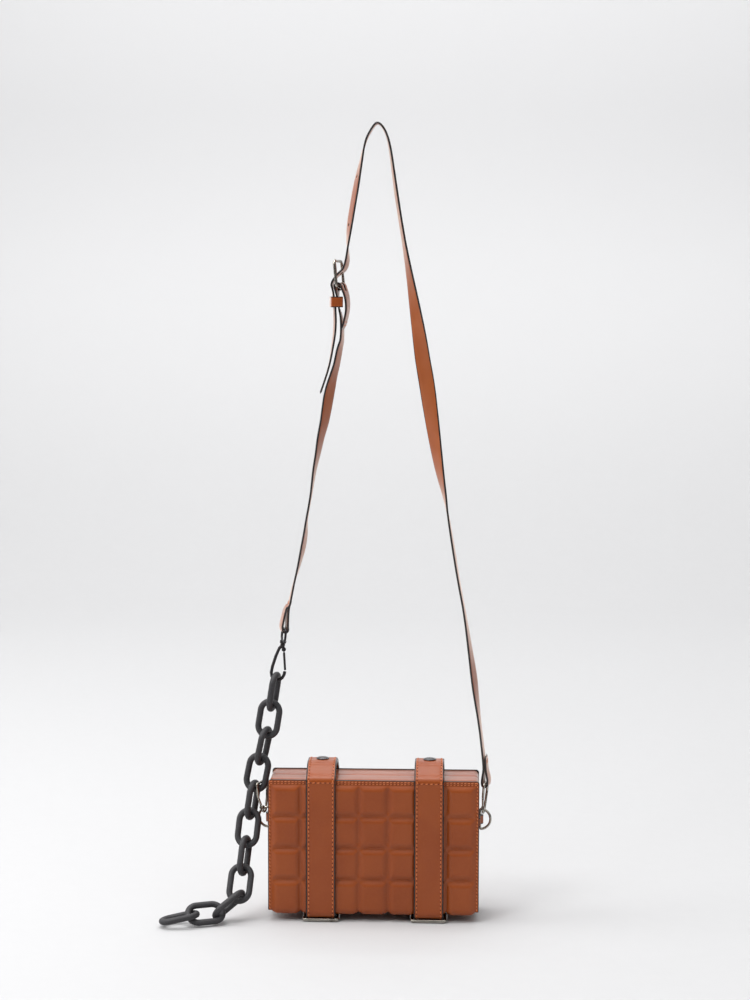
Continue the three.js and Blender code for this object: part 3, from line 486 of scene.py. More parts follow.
def bandPiece(name, centres, sides, normals, section, width, material, roundEnds=(0, 0)):
    along = lengthsAlong(centres)
    count, ring = len(centres), len(section)
    vertices, rims, skins, uv = [], [], [], []
    for k in range(count):
        fromStart, fromEnd = along[k], along[-1] - along[k]
        narrow, flat = 1.0, 1.0
        for reach, gone in ((roundEnds[0], fromStart), (roundEnds[1], fromEnd)):
            if reach and gone < reach:
                narrow *= math.sqrt(max(0.04, 1 - ((reach - gone) / reach) ** 2))
        if min(fromStart, fromEnd) < 1e-7:
            flat = 0.55
        for across, lift in section:
            vertices.append(centres[k] + sides[k] * across * narrow + normals[k] * lift * flat)
            rims.append(min((width / 2 - abs(across)) * narrow, fromStart, fromEnd))
            skins.append(1.0 if lift > 0 else 0.0)
            uv.append((along[k], across))
    faces = [(k * ring + j, k * ring + (j + 1) % ring, (k + 1) * ring + (j + 1) % ring, (k + 1) * ring + j)
             for k in range(count - 1) for j in range(ring)]
    faces += [tuple(range(ring)), tuple((count - 1) * ring + j for j in range(ring))]
    return newPiece(name, vertices, faces, [material], {"rim": rims, "skin": skins}, uv)


def rowOn(centres, sides, normals, across, lift, start, end):
    along = lengthsAlong(centres)
    keep = (along >= start) & (along <= end)
    return centres[keep] + sides[keep] * across + normals[keep] * lift, normals[keep]


# Stitches: threads, and dark discs of painted shade for the needle holes, along each row

def stitchTree():
    tree, given, out = newGroup(
        "stitchRow", "GeometryNodeTree",
        [("Geometry", "NodeSocketGeometry", None), ("Pitch", "NodeSocketFloat", 3.6 * mm),
         ("Thread length", "NodeSocketFloat", 2.6 * mm), ("Thread width", "NodeSocketFloat", 0.8 * mm),
         ("Hole size", "NodeSocketFloat", 0.9 * mm), ("Slant", "NodeSocketFloat", 0.12),
         ("Seed", "NodeSocketInt", 3), ("Thread", "NodeSocketMaterial", None),
         ("Hole", "NodeSocketMaterial", None)],
        [("Geometry", "NodeSocketGeometry")])
    curve = put(tree, "GeometryNodeMeshToCurve", {0: given["Geometry"]}).outputs[0]
    spaced = put(tree, "GeometryNodeResampleCurve", {"Curve": curve, "Length": given["Pitch"]},
                 mode="LENGTH").outputs[0]
    outward = put(tree, "GeometryNodeInputNamedAttribute", {"Name": "outward"},
                  data_type="FLOAT_VECTOR").outputs[0]
    tangent = put(tree, "GeometryNodeInputTangent").outputs[0]
    turn = put(tree, "FunctionNodeAxesToRotation", {"Primary Axis": outward, "Secondary Axis": tangent},
               primary_axis="Z", secondary_axis="X").outputs[0]
    wobble = put(tree, "FunctionNodeRandomValue",
                 {2: maths(tree, "SUBTRACT", given["Slant"], 0.06),
                  3: maths(tree, "ADD", given["Slant"], 0.06), "Seed": given["Seed"]},
                 data_type="FLOAT").outputs[1]
    slanted = put(tree, "FunctionNodeAxisAngleToRotation", {"Axis": (0, 0, 1), "Angle": wobble}).outputs[0]
    leaned = put(tree, "FunctionNodeRotateRotation", {0: turn, 1: slanted}, rotation_space="LOCAL").outputs[0]
    ball = put(tree, "GeometryNodeMeshUVSphere", {"Segments": 8, "Rings": 6, "Radius": 0.5}).outputs["Mesh"]
    size = put(tree, "ShaderNodeCombineXYZ", {0: given["Thread length"], 1: given["Thread width"],
                                              2: given["Thread width"]}).outputs[0]
    threads = put(tree, "GeometryNodeInstanceOnPoints",
                  {"Points": spaced, "Instance": ball, "Rotation": leaned, "Scale": size}).outputs[0]
    # painted shade for each needle hole: a flat dark disc between the threads
    disc = put(tree, "GeometryNodeMeshUVSphere", {"Segments": 8, "Rings": 4, "Radius": 0.5}).outputs["Mesh"]
    low = maths(tree, "MULTIPLY", given["Hole size"], 0.35)
    flatSize = put(tree, "ShaderNodeCombineXYZ",
                   {0: given["Hole size"], 1: given["Hole size"], 2: low}).outputs[0]
    halfPitch = maths(tree, "MULTIPLY", given["Pitch"], 0.5)
    onward = put(tree, "ShaderNodeVectorMath", {0: tangent, "Scale": halfPitch}, operation="SCALE").outputs[0]
    between = put(tree, "GeometryNodeSetPosition", {"Geometry": spaced, "Offset": onward}).outputs[0]
    holes = put(tree, "GeometryNodeInstanceOnPoints",
                {"Points": between, "Instance": disc, "Rotation": turn, "Scale": flatSize}).outputs[0]
    solidThreads = put(tree, "GeometryNodeRealizeInstances", {0: threads}).outputs[0]
    solidHoles = put(tree, "GeometryNodeRealizeInstances", {0: holes}).outputs[0]
    sewn = put(tree, "GeometryNodeSetMaterial",
               {"Geometry": solidThreads, "Material": given["Thread"]}).outputs[0]
    shadedHoles = put(tree, "GeometryNodeSetMaterial",
                  {"Geometry": solidHoles, "Material": given["Hole"]}).outputs[0]
    both = tree.nodes.new("GeometryNodeJoinGeometry")
    tree.links.new(sewn, both.inputs[0])
    tree.links.new(shadedHoles, both.inputs[0])
    smooth = put(tree, "GeometryNodeSetShadeSmooth", {"Geometry": both.outputs[0]}).outputs[0]
    tree.links.new(smooth, out.inputs[0])
    return tree


def grow(piece, tree, values):  # runs a tree on a piece and keeps the plain mesh
    modifier = piece.modifiers.new(tree.name, "NODES")
    modifier.node_group = tree
    for item in tree.interface.items_tree:
        if item.in_out == "INPUT" and item.name in values:
            modifier[item.identifier] = values[item.name]
    return settle(piece)


stitches = stitchTree()


def sew(name, rows, slot, **values):
    points, outwards, edges = [], [], []
    for places, normals in rows:
        first = len(points)
        points += [tuple(p) for p in places]
        outwards += [tuple(n) for n in normals]
        edges += [(first + k, first + k + 1) for k in range(len(places) - 1)]
    mesh = meshOf(name, points, edges, [])
    setValues(mesh, "outward", outwards, "FLOAT_VECTOR")
    piece = linked(name, mesh)
    grow(piece, stitches, {"Thread": thread, "Hole": needleHoleShade, **values})
    return hand(piece, "bag", slot)


# The quilted cover: one sheet down the front, under the case and up the back

quilt = {
    "columns": 7, "rows": 4, "sideMargin": 3.3 * mm, "topMargin": 4.6 * mm, "pillow": 3.0 * mm,
    "slope": 6.2 * mm, "wall": 1.6 * mm, "bend": 3.0 * mm, "lift": 1.7 * mm, "wrap": 12.0 * mm,
    "corner": 3.0 * mm, "step": 1.25 * mm, "rimRound": 0.7 * mm, "pucker": 0.22 * mm, "bridge": 1.3 * mm,
}
caseHeight = 128.3 * mm
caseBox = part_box("quilt_cover")
floorZ = caseBox[1].z - caseHeight  # the case's lowest corners
halfWide, halfDeep = (caseBox[1].x - caseBox[0].x) / 2, 27.5 * mm
middleX, topZ = (caseBox[0].x + caseBox[1].x) / 2, caseBox[1].z


def quiltTree():
    tree, given, out = newGroup(
        "quiltPillows", "GeometryNodeTree",
        [("Geometry", "NodeSocketGeometry", None), ("Pillow height", "NodeSocketFloat", 3 * mm),
         ("Slope", "NodeSocketFloat", 8 * mm), ("Column pitch", "NodeSocketFloat", 27.6 * mm),
         ("Row pitch", "NodeSocketFloat", 30.3 * mm), ("Corner pucker", "NodeSocketFloat", 0.2 * mm),
         ("Corner bridge", "NodeSocketFloat", 1.2 * mm),
         ("Material", "NodeSocketMaterial", None)],
        [("Geometry", "NodeSocketGeometry")])

    def attribute(name, kind="FLOAT"):
        return put(tree, "GeometryNodeInputNamedAttribute", {"Name": name}, data_type=kind).outputs[0]

    def rise(way, pitch):
        gone = maths(tree, "PINGPONG", way, maths(tree, "MULTIPLY", pitch, 0.5))
        share = maths(tree, "MINIMUM", maths(tree, "DIVIDE", gone, given["Slope"]), 1.0)
        left = maths(tree, "SUBTRACT", 1.0, share)
        return gone, maths(tree, "SUBTRACT", 1.0, maths(tree, "POWER", left, 1.9))

    goneAcross, upAcross = rise(attribute("across"), given["Column pitch"])
    goneDown, upDown = rise(attribute("down"), given["Row pitch"])
    mitred = maths(tree, "SMOOTH_MIN", upAcross, upDown, 0.06)
    height = maths(tree, "MULTIPLY", maths(tree, "MAXIMUM", mitred, 0.0), given["Pillow height"])
    reach = maths(tree, "SQRT", maths(tree, "ADD", maths(tree, "POWER", goneAcross, 2.0),
                                      maths(tree, "POWER", goneDown, 2.0)))
    angle = maths(tree, "ARCTAN2", goneDown, goneAcross)
    rays = maths(tree, "SINE", maths(tree, "MULTIPLY", angle, 8.0))
    fade = maths(tree, "MULTIPLY", ramped(tree, reach, 11 * mm, 4 * mm),
                 ramped(tree, reach, 0.5 * mm, 4 * mm))
    pucker = maths(tree, "MULTIPLY", maths(tree, "MULTIPLY", rays, fade), given["Corner pucker"])
    bridge = maths(tree, "MULTIPLY", ramped(tree, reach, 8 * mm, 0.0), given["Corner bridge"])
    raised = maths(tree, "SMOOTH_MAX", maths(tree, "ADD", height, pucker), bridge, 0.4 * mm)
    low = maths(tree, "MINIMUM", raised, given["Pillow height"])
    lifted = maths(tree, "MULTIPLY", maths(tree, "MAXIMUM", low, 0.0), attribute("padding"))
    offset = put(tree, "ShaderNodeVectorMath", {0: attribute("outward", "FLOAT_VECTOR"), "Scale": lifted},
                 operation="SCALE").outputs[0]
    shaped = put(tree, "GeometryNodeSetPosition",
                 {"Geometry": given["Geometry"], "Offset": offset}).outputs[0]
    covered = put(tree, "GeometryNodeSetMaterial",
                  {"Geometry": shaped, "Material": given["Material"]}).outputs[0]
    tree.links.new(covered, out.inputs[0])
    return tree


faceLength = topZ - floorZ - quilt["lift"] - quilt["bend"]  # the flat stretch down one face


def coverPoint(way, length):
    back = way > length / 2
    along = length - way if back else way
    side = -1 if back else 1
    if along <= faceLength:
        return Vector((0, -side * halfDeep, topZ - along)), Vector((0, -side, 0)), along
    turn = min((along - faceLength) / quilt["bend"], math.pi / 2)
    past = max(along - faceLength - quilt["bend"] * math.pi / 2, 0)
    y = -side * (halfDeep - quilt["bend"] + quilt["bend"] * math.cos(turn) - past)
    z = floorZ + quilt["lift"] + quilt["bend"] - quilt["bend"] * math.sin(turn)
    return Vector((0, y, z)), Vector((0, -side * math.cos(turn), -math.sin(turn))), along


def quiltCover():
    length = 2 * (faceLength + quilt["bend"] * math.pi / 2) + 2 * (halfDeep - quilt["bend"])
    rowPitch = (faceLength + quilt["bend"] - quilt["topMargin"]) / quilt["rows"]
    columnPitch = (2 * halfWide - 2 * quilt["sideMargin"]) / quilt["columns"]
    lastRow = faceLength + quilt["bend"] * math.pi / 2 + quilt["wrap"] - quilt["bend"]
    fine = [0, 0.12, 0.3, 0.55, 0.9, 1.4, 2.0, 2.7]
    half = [v * mm for v in fine] + list(np.arange(3.3 * mm, length / 2, quilt["step"]))
    ways = np.array(half + [length / 2] + [length - v for v in reversed(half)])
    sides = [v * mm for v in fine] + list(np.arange(3.3 * mm, halfWide, quilt["step"]))
    shares = np.array([-1 + v / halfWide for v in sides] + [0] + [1 - v / halfWide for v in reversed(sides)])
    vertices, data = [], {"across": [], "down": [], "padding": [], "rim": [], "skin": []}
    outwards, uv = [], []
    wide = len(shares)
    for layer in (0, 1):
        for way in ways:
            place, out, along = coverPoint(way, length)
            limit = halfWide
            if along < quilt["corner"]:
                gap = quilt["corner"] - along
                limit -= quilt["corner"] - math.sqrt(quilt["corner"] ** 2 - gap**2)
            for share in shares:
                x = share * limit
                edge = min(limit - abs(x), min(way, length - way))
                sunk = 0.0
                if edge < quilt["rimRound"]:
                    gone = quilt["rimRound"] - edge
                    sunk = quilt["rimRound"] - math.sqrt(max(quilt["rimRound"] ** 2 - gone**2, 0))
                depth = sunk if layer == 0 else quilt["wall"] - sunk * 0.4
                vertices.append(Vector((middleX + x, place.y, place.z)) - out * depth)
                down = along - quilt["topMargin"]
                pastMiddle = down > quilt["rows"] * rowPitch - rowPitch * 0.5
                # the lowest pillows reach round the edge and end under the case
                if pastMiddle and along > faceLength - rowPitch * 0.4:
                    start = quilt["topMargin"] + (quilt["rows"] - 1) * rowPitch
                    near = min(along - start, lastRow - along)
                    upperHalf = along - start < (lastRow - start) / 2
                    down = (quilt["rows"] - 1) * rowPitch + (near if upperHalf else rowPitch - near)
                    if near >= rowPitch / 2:
                        down = (quilt["rows"] - 0.5) * rowPitch
                data["across"].append(x + halfWide - quilt["sideMargin"])
                data["down"].append(down)
                inside = abs(x) <= halfWide - quilt["sideMargin"] and quilt["topMargin"] <= along <= lastRow
                data["padding"].append(1.0 if layer == 0 and inside else 0.0)
                data["rim"].append(edge if layer == 0 else 0.0)
                data["skin"].append(1.0)
                outwards.append(tuple(out))
                uv.append((x, way))
    deep = len(ways)
    inner = deep * wide
    faces = []
    for k in range(deep - 1):
        for j in range(wide - 1):
            a = k * wide + j
            faces.append((a, a + wide, a + wide + 1, a + 1))
            faces.append((inner + a, inner + a + 1, inner + a + wide + 1, inner + a + wide))
        for j in (0, wide - 1):
            a = k * wide + j
            faces.append((a, a + wide, inner + a + wide, inner + a))
    for k in (0, deep - 1):
        for j in range(wide - 1):
            a = k * wide + j
            faces.append((a, a + 1, inner + a + 1, inner + a))
    piece = newPiece("quiltedCover", vertices, faces, [panelLeather], data, uv)
    setValues(piece.data, "outward", outwards, "FLOAT_VECTOR")
    grow(piece, quiltTree(), {
        "Pillow height": quilt["pillow"], "Slope": quilt["slope"], "Column pitch": columnPitch,
        "Row pitch": rowPitch, "Corner pucker": quilt["pucker"],
        "Corner bridge": quilt["bridge"], "Material": panelLeather})
    smoothShaded(piece.data)
    hand(piece, "bag", "quilted_leather", "quilt_cover")
    return piece


quiltCover()
panelRows = {"side": 1.9 * mm, "top": [1.8 * mm, 3.7 * mm], "lift": 0.1 * mm}


def panelStitches():
    rows = []
    for face in (-1, 1):
        y = face * (halfDeep + panelRows["lift"])
        out = (0, face, 0)
        for side in (-1, 1):
            x = middleX + side * (halfWide - panelRows["side"])
            heights = np.linspace(topZ - panelRows["side"], floorZ + 4.5 * mm, 30)
            rows.append((np.array([(x, y, z) for z in heights]), [out] * 30))
        for drop in panelRows["top"]:
            inset = 3.4 * mm
            spread = np.linspace(middleX - halfWide + inset, middleX + halfWide - inset, 30)
            rows.append((np.array([(x, y, topZ - drop) for x in spread]), [out] * 30))
    return rows


sew("panelStitches", panelStitches(), "quilted_leather", **{
    "Pitch": 3.3 * mm, "Thread length": 2.5 * mm, "Thread width": 0.75 * mm, "Hole size": 0.8 * mm,
    "Slant": 0.3})
print("quilted cover made")


# The walls between the panels: two stiff leather trays that meet in the middle

tray = {"corner": 4.5 * mm, "wall": 2.0 * mm, "round": 0.7 * mm, "leastRim": 0.8 * mm, "steps": 10}


def trayOutline(inset):
    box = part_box("front_shell")
    left, right, low, high = box[0].x + inset, box[1].x - inset, box[0].z + inset, box[1].z - inset
    radius = max(tray["corner"] - inset, 0.3 * mm)
    outline = []
    for x, z, start in ((right - radius, low + radius, -90), (right - radius, high - radius, 0),
                        (left + radius, high - radius, 90), (left + radius, low + radius, 180)):
        for k in range(tray["steps"] + 1):
            angle = math.radians(start + 90 * k / tray["steps"])
            outline.append((x + radius * math.cos(angle), z + radius * math.sin(angle)))
    return outline


def shellTray(name, node, face):
    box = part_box(node)
    outer = box[0].y if face < 0 else -box[1].y
    seam = box[1].y if face < 0 else -box[0].y
    soft = tray["round"]
    loops = [(1.4 * mm, outer), (0.5 * mm, outer + 0.05 * mm), (0.0, outer + 0.5 * mm), (0.0, outer * 0.66),
             (0.0, outer * 0.33), (0.0, seam - soft * 1.4), (soft * 0.15, seam - soft * 0.7),
             (soft * 0.5, seam - soft * 0.2), (soft, seam), (tray["wall"] - 0.3 * mm, seam),
             (tray["wall"], seam - 0.4 * mm), (tray["wall"], outer + tray["wall"])]
    vertices, rims, uv = [], [], []
    for inset, y in loops:
        for k, (x, z) in enumerate(trayOutline(inset)):
            vertices.append((x, y if face < 0 else -y, z))
            rims.append(max(tray["leastRim"], seam - y))
            uv.append((k * 0.01, y))
    ring = len(trayOutline(0))
    faces = [(i * ring + k, i * ring + (k + 1) % ring, (i + 1) * ring + (k + 1) % ring, (i + 1) * ring + k)
             for i in range(len(loops) - 1) for k in range(ring)]
    faces += [tuple(range(ring)), tuple((len(loops) - 1) * ring + k for k in range(ring))]
    piece = newPiece(name, vertices, faces, [wallLeather],
                     {"rim": rims, "skin": [1.0] * len(vertices)}, uv)
    return hand(piece, "bag", "quilted_leather", node)


shellTray("frontTray", "front_shell", -1)
shellTray("backTray", "back_shell", 1)
print("case walls made")


# The two belts

belt = {
    "width": 28 * mm, "thick": 2.2 * mm, "row": 11.3 * mm, "dip": 0.14 * mm, "step": 1.6 * mm, "tip": 7 * mm,
    "snapHole": 2.3 * mm, "rowEnd": 4 * mm, "crossHeight": 127.2 * mm,
}


def beltPiece(side):
    centres, sides = stationsOf(f"belt_{side}", belt["width"], belt["thick"])
    centres, sides = smoothRoute(centres, sides, belt["step"])
    front = int(np.argmin(centres[:, 1]))
    sides, normals = framesOf(centres, sides, (front, (0, -1, 0)))
    section = bandSection(belt["width"], belt["thick"], belt["dip"], belt["row"])
    piece = bandPiece(f"belt{side.capitalize()}", centres, sides, normals, section, belt["width"],
                      beltLeather, roundEnds=(belt["tip"], belt["tip"]))
    along = lengthsAlong(centres)
    x = centres[0][0]
    top = centres[:, 2].max() + 3 * mm
    bore(piece, [(Vector((x, 0, top - 14 * mm)), Vector((x, 0, top)), belt["snapHole"])])
    lift = belt["thick"] / 2 - belt["dip"] + 0.12 * mm
    rows = [rowOn(centres, sides, normals, s * belt["row"], lift, belt["rowEnd"], along[-1] - belt["rowEnd"])
            for s in (-1, 1)]
    folds = [k for k in range(len(centres)) if centres[k][1] < -20 * mm]
    cross = min(folds, key=lambda k: abs(centres[k][2] - (floorZ + belt["crossHeight"])))
    spread = np.linspace(-belt["row"], belt["row"], 20)
    above = centres[cross] + normals[cross] * (belt["thick"] / 2 + 0.08 * mm)
    rows.append((np.array([above + sides[cross] * s for s in spread]), [normals[cross]] * 20))
    hand(piece, "bag", "belt_leather", f"belt_{side}")
    return rows


def cutAway(piece, name, made):
    mesh = bpy.data.meshes.new(name)
    made.to_mesh(mesh)
    made.free()
    tool = linked(name, mesh)
    cutter = piece.modifiers.new(name, "BOOLEAN")
    cutter.operation, cutter.object, cutter.solver = "DIFFERENCE", tool, "EXACT"
    cutter.use_self = True  # the straps' folded ends lie close to each other
    settle(piece)
    bpy.data.objects.remove(tool)


def bore(piece, rods, sides=20):  # straight holes through a piece
    for start, end, radius in rods:
        made = bmesh.new()
        bmesh.ops.create_cone(made, cap_ends=True, segments=sides, radius1=radius, radius2=radius,
                              depth=(end - start).length)
        turn = (end - start).to_track_quat("Z", "Y").to_matrix().to_4x4()
        made.transform(Matrix.Translation((start + end) / 2) @ turn)
        cutAway(piece, "borer", made)


beltRows = beltPiece("left") + beltPiece("right")
sew("beltStitches", beltRows, "belt_leather", **{
    "Pitch": 4.0 * mm, "Thread length": 2.7 * mm, "Thread width": 0.9 * mm, "Hole size": 1.2 * mm})
print("belts made")


# The shoulder strap, in two parts

strap = {"width": 15 * mm, "thick": 1.9 * mm, "step": 2.2 * mm, "hole": 1.4 * mm, "tip": 7.5 * mm}
strapHoles = [(Vector((-25.7, 0, -93.2)), 25), (Vector((-17.6, 0, -48.2)), 18)]  # mm, degrees


def strapRoute(node):
    centres, sides = stationsOf(node, strap["width"], strap["thick"])
    return smoothRoute(centres, sides, strap["step"])


def longStrap():
    centres, sides = strapRoute("strap_long")
    if centres[0][0] < centres[-1][0]:
        centres, sides = centres[::-1], sides[::-1]
    top = int(np.argmax(centres[:, 2]))
    sides, normals = framesOf(centres, sides, (top, (0, 0, 1)))
    piece = bandPiece("strapLong", centres, sides, normals, bandSection(strap["width"], strap["thick"]),
                      strap["width"], strapLeather, roundEnds=(0, strap["tip"]))
    rods = []
    for place, angle in strapHoles:
        way = Vector((math.cos(math.radians(angle)), math.sin(math.radians(angle)), 0)) * 6 * mm
        rods.append((place * mm - way, place * mm + way, strap["hole"]))
    axes = buckleAxes()
    rods.append((axes["middle"] - axes["up"] * 7 * mm + axes["out"] * 2.7 * mm,
                 axes["middle"] + axes["up"] * 5 * mm + axes["out"] * 2.7 * mm, 1.6 * mm))
    bore(piece, rods)
    hand(piece, "bag", "strap_leather", "strap_long")
    return centres, sides, normals


def buckleAxes():
    places, _ = cornersOf("buckle_frame")
    middle = places.mean(axis=0)
    _, _, axes = np.linalg.svd(places - middle)
    up = Vector(axes[0]) if axes[0][2] > 0 else -Vector(axes[0])
    out = Vector(axes[2]) if axes[2][0] > 0 else -Vector(axes[2])
    return {"middle": Vector(middle), "up": up, "out": out}


def shortStrap():
    centres, sides = strapRoute("strap_short")
    top = int(np.argmax(centres[:, 2]))
    sides, normals = framesOf(centres, sides, (top, (0, 0, 1)))
    piece = bandPiece("strapShort", centres, sides, normals, bandSection(strap["width"], strap["thick"]),
                      strap["width"], strapLeather)
    axes = buckleAxes()
    heel = axes["middle"] - axes["up"] * 12.1 * mm
    made = bmesh.new()
    bmesh.ops.create_cube(made, size=1.0)
    bmesh.ops.scale(made, vec=(12 * mm, 3.2 * mm, 10 * mm), verts=made.verts)
    turn = Matrix.Rotation(math.radians(-18), 4, "Z")
    made.transform(Matrix.Translation(heel + Vector((0, 0, 1.2 * mm))) @ turn)
    cutAway(piece, "slotter", made)
    hand(piece, "bag", "strap_leather", "strap_short")
    return centres, sides, normals


longRoute, shortRoute = longStrap(), shortStrap()


def crossRow(route, way, lift=1.02 * mm, reach=5.2 * mm):
    centres, sides, normals = route
    along = lengthsAlong(centres)
    k = int(np.argmin(np.abs(along - (way if way >= 0 else along[-1] + way))))
    spread = np.linspace(-reach, reach, 12)
    rows = []
    for face in (1, -1):
        rows.append((np.array([centres[k] + sides[k] * s + normals[k] * face * lift for s in spread]),
                     [normals[k] * face] * 12))
    return rows


strapRows = []
for route, ways in ((longRoute, (4 * mm, 7 * mm)), (shortRoute, (4 * mm, 7 * mm, -4 * mm, -7 * mm))):
    for way in ways:
        strapRows += crossRow(route, way)
sew("strapStitches", strapRows, "strap_leather", **{
    "Pitch": 2.6 * mm, "Thread length": 1.9 * mm, "Thread width": 0.7 * mm, "Hole size": 0.7 * mm})
print("strap made")


# Small leather pieces: the keeper and the tabs of the D rings

def bevelledCopy(node, name, width):
    piece = mergedCopy(node, name)
    made = bmesh.new()
    made.from_mesh(piece.data)
    bmesh.ops.dissolve_limit(made, angle_limit=math.radians(2), verts=made.verts, edges=made.edges)
    made.to_mesh(piece.data)
    made.free()
    soft = piece.modifiers.new("soft", "BEVEL")
    soft.width, soft.segments, soft.limit_method, soft.angle_limit = width, 3, "ANGLE", math.radians(40)
    settle(piece)
    mesh = piece.data
    axis = Vector((0, 0, 1))
    made = bmesh.new()
    made.from_mesh(mesh)
    ends = [v.co.dot(axis) for v in made.verts]
    steps = [c * mm for c in (0.6, 1.0, 1.6, 2.6)]
    cuts = [min(ends) + c for c in steps] + [max(ends) - c for c in steps]
    for cut in cuts:
        bmesh.ops.bisect_plane(made, geom=made.verts[:] + made.edges[:] + made.faces[:], plane_co=axis * cut,
                               plane_no=axis)
    made.to_mesh(mesh)
    made.free()
    low = min(v.co.dot(axis) for v in mesh.vertices)
    high = max(v.co.dot(axis) for v in mesh.vertices)
    rims = [min(v.co.dot(axis) - low, high - v.co.dot(axis)) for v in mesh.vertices]
    setValues(mesh, "rim", rims)
    setValues(mesh, "skin", [1.0] * len(rims))
    smoothShaded(mesh)
    mesh.materials.clear()
    mesh.materials.append(strapLeather)
    return hand(piece, "bag", "strap_leather", node)


bevelledCopy("keeper", "strapKeeper", 0.45 * mm)
for side in ("left", "right"):
    bevelledCopy(f"ring_tab_{side}", f"ringTab{side.capitalize()}", 0.4 * mm)


# The chain: links of one form, each where its CAD link lies

chain = {"Length": 39.2 * mm, "Width": 25 * mm, "Wire": 6.0 * mm, "Round steps": 14, "Wire steps": 20}


def linkTree():
    tree, given, out = newGroup(
        "chainLink", "GeometryNodeTree",
        [("Geometry", "NodeSocketGeometry", None), ("Length", "NodeSocketFloat", 0.04),
         ("Width", "NodeSocketFloat", 0.025), ("Wire", "NodeSocketFloat", 0.006),
         ("Round steps", "NodeSocketInt", 12), ("Wire steps", "NodeSocketInt", 16),
         ("Material", "NodeSocketMaterial", None)],
        [("Geometry", "NodeSocketGeometry")])
    wide = maths(tree, "SUBTRACT", given["Width"], given["Wire"])
    tall = maths(tree, "SUBTRACT", given["Length"], given["Wire"])
    outline = put(tree, "GeometryNodeCurvePrimitiveQuadrilateral", {"Width": wide, "Height": tall}).outputs[0]
    rounded = tree.nodes.new("GeometryNodeFilletCurve")
    tree.links.new(outline, rounded.inputs["Curve"])
    tree.links.new(maths(tree, "MULTIPLY", wide, 0.4999), rounded.inputs["Radius"])
    rounded.mode = "POLY"
    tree.links.new(given["Round steps"], rounded.inputs["Count"])
    radius = maths(tree, "MULTIPLY", given["Wire"], 0.5)
    profile = put(tree, "GeometryNodeCurvePrimitiveCircle",
                  {"Resolution": given["Wire steps"], "Radius": radius}).outputs[0]
    swept = put(tree, "GeometryNodeCurveToMesh",
                {"Curve": rounded.outputs[0], "Profile Curve": profile}).outputs[0]
    smooth = put(tree, "GeometryNodeSetShadeSmooth", {"Geometry": swept}).outputs[0]
    solid = put(tree, "GeometryNodeRealizeInstances", {0: smooth}).outputs[0]
    made = put(tree, "GeometryNodeSetMaterial", {"Geometry": solid, "Material": given["Material"]}).outputs[0]
    tree.links.new(made, out.inputs[0])
    return tree


linkForm = linkTree()
for number in range(1, 12):
    places, _ = cornersOf(f"link_{number}")
    middle = places.mean(axis=0)
    _, _, axes = np.linalg.svd(places - middle)
    turn = Matrix((axes[1], axes[0], np.cross(axes[1], axes[0]))).transposed().to_4x4()
    name = f"chainLink{number}"
    piece = linked(name, meshOf(name, [(0, 0, 0)], [], []))
    grow(piece, linkForm, {**chain, "Material": chainPlastic})
    piece.data.transform(Matrix.Translation(middle) @ turn)
    hand(piece, "bag", "chain_plastic", f"link_{number}")
print("chain made")


# Cast and bent metal: each piece keeps its CAD form, with its facets smoothed away

def cast(node, name, voxel, rounds, material, slot):
    body = frame["nodes"][node]["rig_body"]
    piece = mergedCopy(node, name)
    piece.data.materials.append(material)
    fine = piece.modifiers.new("voxels", "REMESH")
    fine.mode, fine.voxel_size, fine.use_smooth_shade = "VOXEL", voxel, True
    soft = piece.modifiers.new("soften", "SMOOTH")
    soft.factor, soft.iterations = 0.5, rounds
    settle(piece)
    piece.data.materials.clear()
    piece.data.materials.append(material)
    return hand(piece, body, slot, node)


for side in ("left", "right"):
    name = side.capitalize()
    cast(f"snap_{side}", f"snap{name}", 0.25 * mm, 3, gunmetal, "snap_metal")
    cast(f"d_ring_{side}", f"dRing{name}", 0.22 * mm, 6, nickel, "nickel")
    cast(f"clip_{side}_frame", f"clip{name}Frame", 0.2 * mm, 4, nickel, "nickel")
    cast(f"clip_{side}_gate", f"clip{name}Gate", 0.18 * mm, 3, nickel, "nickel")
    for face in ("front", "back"):
        cast(f"foot_ring_{side}_{face}", f"footRing{name}{face.capitalize()}", 0.3 * mm, 7, nickel, "nickel")
cast("hook_frame", "hookFrame", 0.22 * mm, 5, blackMetal, "black_metal")
cast("hook_gate", "hookGate", 0.2 * mm, 3, blackMetal, "black_metal")
cast("hook_swivel", "hookSwivel", 0.22 * mm, 4, blackMetal, "black_metal")
cast("buckle_frame", "buckleFrame", 0.25 * mm, 6, nickel, "nickel")
cast("buckle_prong", "buckleProng", 0.22 * mm, 4, nickel, "nickel")
print("metal made")


# The studio: a pale sweep, soft lights and the camera

studio = {"floor": -751.0 * mm, "back": 3.0, "front": -4.0, "half": 5.0, "curve": 1.0, "height": 5.0}


